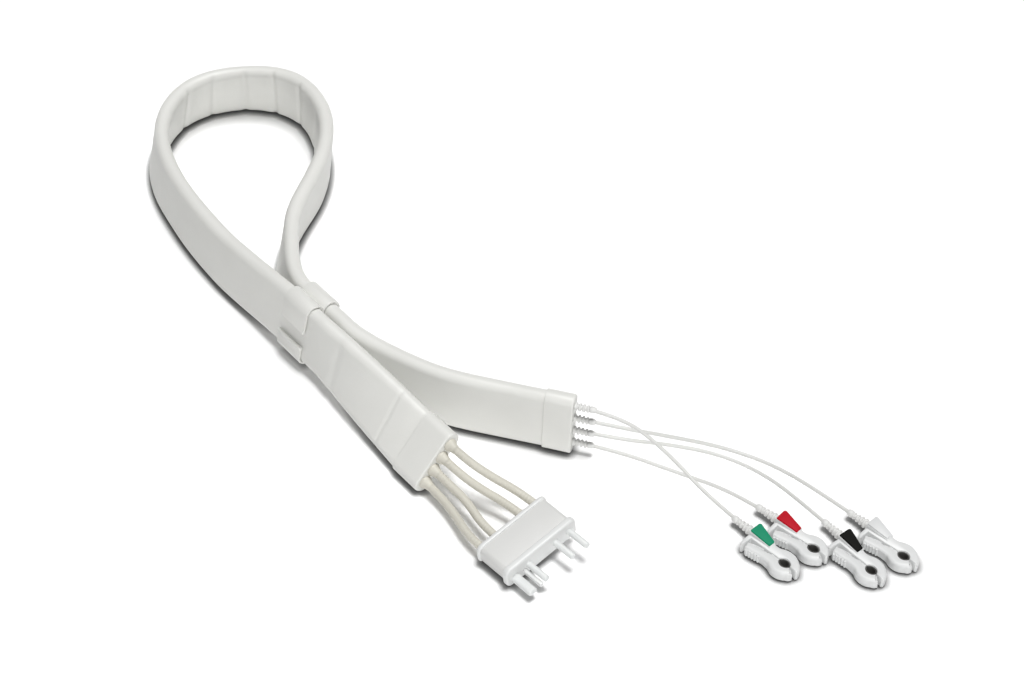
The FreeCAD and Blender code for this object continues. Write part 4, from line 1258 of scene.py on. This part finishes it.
@dataclass
class Studio:
    """White table, soft light and the camera."""

    target: tuple = (0.005, -0.0125, 0.0)
    eye: tuple = (0.005, -1.0536, 1.0411)
    lens: float = 84.375
    sensor: float = 36.0
    far: float = 20.0
    key: tuple = (0.22, 0.27, 1.7)
    key_strength: float = 3.0
    key_softness: float = 24.0
    fill: tuple = (0.15, -1.6, 0.25)
    fill_power: float = 16.0
    fill_size: float = 1.2
    room: float = 0.12
    table: tuple = (6.0, -0.002, -0.0003)
    paint: str = "F7F7F7"
    # colour of the painted contact shadow on the table
    shade: str = "101010"
    glow: float = 0.03
    # reach of the painted contact shadow in metres, and how steeply it fades
    contact: float = 0.0048
    painted_shadow_depth: float = 2.2

    def build(self) -> None:
        """Makes the stage."""
        scene = bpy.context.scene
        scene.view_settings.view_transform = "Standard"
        self.floor()
        self.world(scene)
        self.lamps()
        view = bpy.data.cameras.new("camera")
        view.lens, view.sensor_width, view.clip_end = self.lens, self.sensor, self.far
        scene.camera = self.aimed(linked("camera", view), self.eye, self.target)

    def aimed(self, obj: Object, place: tuple, target: tuple = (0, 0, 0)) -> Object:
        """Puts a lamp or the camera at a place, facing a target, and returns it.

        Args:
            obj: the lamp or camera.
            place: where it stands, in metres.
            target: what it faces.
        Returns:
            The same object.
        """
        obj.location = place
        obj.rotation_euler = (Vector(target) - Vector(place)).to_track_quat("-Z", "Y").to_euler()
        return obj

    def lamps(self) -> None:
        """Adds the even key light from above and the broad front lamp that fills the shaded faces."""
        key = bpy.data.lights.new("key", "SUN")
        key.energy, key.angle = self.key_strength, math.radians(self.key_softness)
        self.aimed(linked("key", key), self.key)
        fill = bpy.data.lights.new("front", "AREA")
        fill.energy, fill.size, fill.use_shadow = self.fill_power, self.fill_size, False
        self.aimed(linked("front", fill), self.fill)

    def seen(self, tree: NodeTree) -> NodeSocket:
        """Output that is 1 where the camera sees straight, in gloss or through glass.

        Args:
            tree: the material or world.
        Returns:
            The output.
        """
        path = add_node(tree, "ShaderNodeLightPath").outputs
        first = add_node(tree, "ShaderNodeMath", {0: path["Is Camera Ray"], 1: path["Is Glossy Ray"]},
                         operation="MAXIMUM")
        return add_node(tree, "ShaderNodeMath", {0: first.outputs[0], 1: path["Is Transmission Ray"]},
                        operation="MAXIMUM").outputs[0]

    def floor(self) -> None:
        """White table top that keeps the lamps' shadow, and a painted contact shadow near what lies on it."""
        reach, *heights = self.table
        sheet = slab([(-reach, -reach), (reach, -reach), (reach, reach), (-reach, reach)], *heights)
        table = linked("table_top", sheet)
        paint = bpy.data.materials.new("matt_white_table")
        paint.use_nodes = True
        tree = paint.node_tree
        tree.nodes.remove(tree.nodes["Principled BSDF"])
        # painted contact shadow: an ambient-occlusion mask darkens the table's colour close to what lies on it
        near = add_node(tree, "ShaderNodeAmbientOcclusion", {"Distance": self.contact}, samples=16)
        depth = add_node(tree, "ShaderNodeMath", {0: near.outputs["AO"], 1: self.painted_shadow_depth},
                         operation="POWER")
        tone = add_node(tree, "ShaderNodeMix", {
            0: depth.outputs[0], 6: linear(self.shade), 7: linear(self.paint)}, data_type="RGBA")
        matt = add_node(tree, "ShaderNodeBsdfDiffuse", {"Color": tone.outputs[2]})
        lift = add_node(tree, "ShaderNodeMath", {0: self.seen(tree), 1: self.glow}, operation="MULTIPLY")
        glow = add_node(tree, "ShaderNodeEmission", {"Strength": lift.outputs[0]})
        both = add_node(tree, "ShaderNodeAddShader", {0: matt.outputs[0], 1: glow.outputs[0]})
        tree.links.new(both.outputs[0], tree.nodes["Material Output"].inputs["Surface"])
        sheet.materials.append(paint)

    def world(self, scene: bpy.types.Scene) -> None:
        """Even pale light from all round, white where the camera sees it.

        Args:
            scene: the scene that it lights.
        """
        world = bpy.data.worlds.new("soft_room")
        scene.world = world
        world.use_nodes = True
        tree = world.node_tree
        level = add_node(tree, "ShaderNodeMapRange", {
            "Value": self.seen(tree), "To Min": self.room, "To Max": 1.0})
        tree.links.new(level.outputs[0], tree.nodes["Background"].inputs["Strength"])
        tree.nodes["Background"].inputs["Color"].default_value = (1, 1, 1, 1)


# Places of the four cables across the ribbon, from its upper edge, in pitches
RANKS = (1.5, 0.5, -0.5, -1.5)
CLIP_BOOT = Boot(ribs=4, pitch=2.6, root=6.0, tip=4.8, flange=1.6, collar=4.0, bulb=4.4)
EXIT_BOOT = Boot(ribs=3, pitch=2.4, root=5.0, tip=4.7, flange=1.4, collar=4.2, bulb=4.0)
# Each clip with the points in the middle of its lead, in millimetres
CLIPS = (
    (Clip("green", (130.8, -158.3), -47.0, CLIP_BOOT), ((92.0, -117.5, 18.5),)),
    (Clip("white", (196.7, -153.8), -45.0, CLIP_BOOT),
     ((98.0, -104.0, 13.0), (130.0, -104.0, 3.6), (160.0, -117.0, 1.2))),
    (Clip("black", (181.9, -161.0), -52.0, CLIP_BOOT),
     ((96.0, -103.5, 6.0), (126.0, -107.0, 1.4), (152.0, -123.0, 1.2))),
    (Clip("red", (144.9, -149.9), -42.0, CLIP_BOOT), ((99.0, -120.5, 1.2),)),
)
# Diameters of thick cables and thin leads, and their straight runs out of a cap and into the plug
CABLE_SIZE = 5.0
CABLE_LEAVE = 16.3
CABLE_ARRIVE = 18.0
LEAD_SIZE = 2.2
LEAD_LEAVE = 29.0
# Flared collar round a thick cable, as (x, radius) corners
GROMMET = ((-0.2, 2.6), (-0.2, 4.0), (0.3, 4.15), (0.9, 4.1), (1.6, 3.8), (2.4, 3.35), (3.2, 3.05), (4.2, 2.8),
           (5.6, 2.62), (5.8, 2.52), (-0.2, 2.6))
# The middle point of each thick cable
CABLE_MIDDLES = ((-8.0, -139.5, 19.0), (-14.0, -144.5, 14.0), (-21.0, -151.0, 10.5), (-28.0, -157.5, 6.8))


def plug_side(ribbon: Ribbon, plug: Plug) -> None:
    """Cap, grommets and thick cables between the ribbon and the plug.

    Args:
        ribbon: the built ribbon.
        plug: the plug.
    """
    spot = EndCap("plug_end_cap", ribbon.plug_cap, 0).build(ribbon)
    along, row_way, _ = plug.ways
    out = heading(ribbon.keeper_heading)
    collars = []
    for number, (rank, row, middle) in enumerate(zip(RANKS, plug.rows, CABLE_MIDDLES), 1):
        collar = lathe(GROMMET)
        collar.transform(Matrix.Translation((0, 0, rank * ribbon.cable_pitch)))
        collars.append(collar)
        start = ribbon.exit(0, rank)
        stop = plug.heart + row_way * row + along * plug.cable_stop
        points = [start, start + out * CABLE_LEAVE, middle, stop - along * CABLE_ARRIVE, stop]
        Cord(f"plug_cable_{number}", points, CABLE_SIZE, CABLE, "cable").build()
    piece("cable_grommet_set", merged(collars), spot, CABLE, ROOT, "cable", "cable_grommets")


def lead_side(ribbon: Ribbon) -> None:
    """Cap, boots, thin leads and clips.

    Args:
        ribbon: the built ribbon.
    """
    spot = EndCap("lead_end_cap", ribbon.lead_cap, -1).build(ribbon)
    out = heading(ribbon.lead_heading)
    for rank, (clip, middles) in zip(RANKS, CLIPS):
        boot = EXIT_BOOT.mesh()
        boot.transform(Matrix.Translation((0, 0, rank * ribbon.cable_pitch)))
        piece(f"{clip.colour}_exit_sleeve", boot, spot, BOOT, ROOT, "boot", f"{clip.colour}_exit_boot")
        start = ribbon.exit(-1, rank)
        points = [start, start + out * LEAD_LEAVE, *middles, *clip.run()]
        Cord(f"{clip.colour}_lead", points, LEAD_SIZE, LEAD, "lead").build()
        clip.build()


def dress_nodes(frame: dict) -> None:
    """Gives the CAD nodes that stay in view their finishes.

    Args:
        frame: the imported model.
    """
    for name, node in frame["nodes"].items():
        inner = name.startswith("ribbon_cable")
        if inner or name.endswith("clip_spring"):
            node.data.materials.clear()
            node.data.materials.append((CABLE if inner else CLIP).material())


def main() -> None:
    """Builds the set in order."""
    logging.basicConfig(level=logging.INFO, format="%(message)s")
    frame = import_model()
    Studio().build()
    ribbon = Ribbon()
    ribbon.build()
    Keeper().build(ribbon)
    plug = Plug()
    plug.build()
    plug_side(ribbon, plug)
    lead_side(ribbon)
    dress_nodes(frame)


if __name__ == "__main__":
    main()
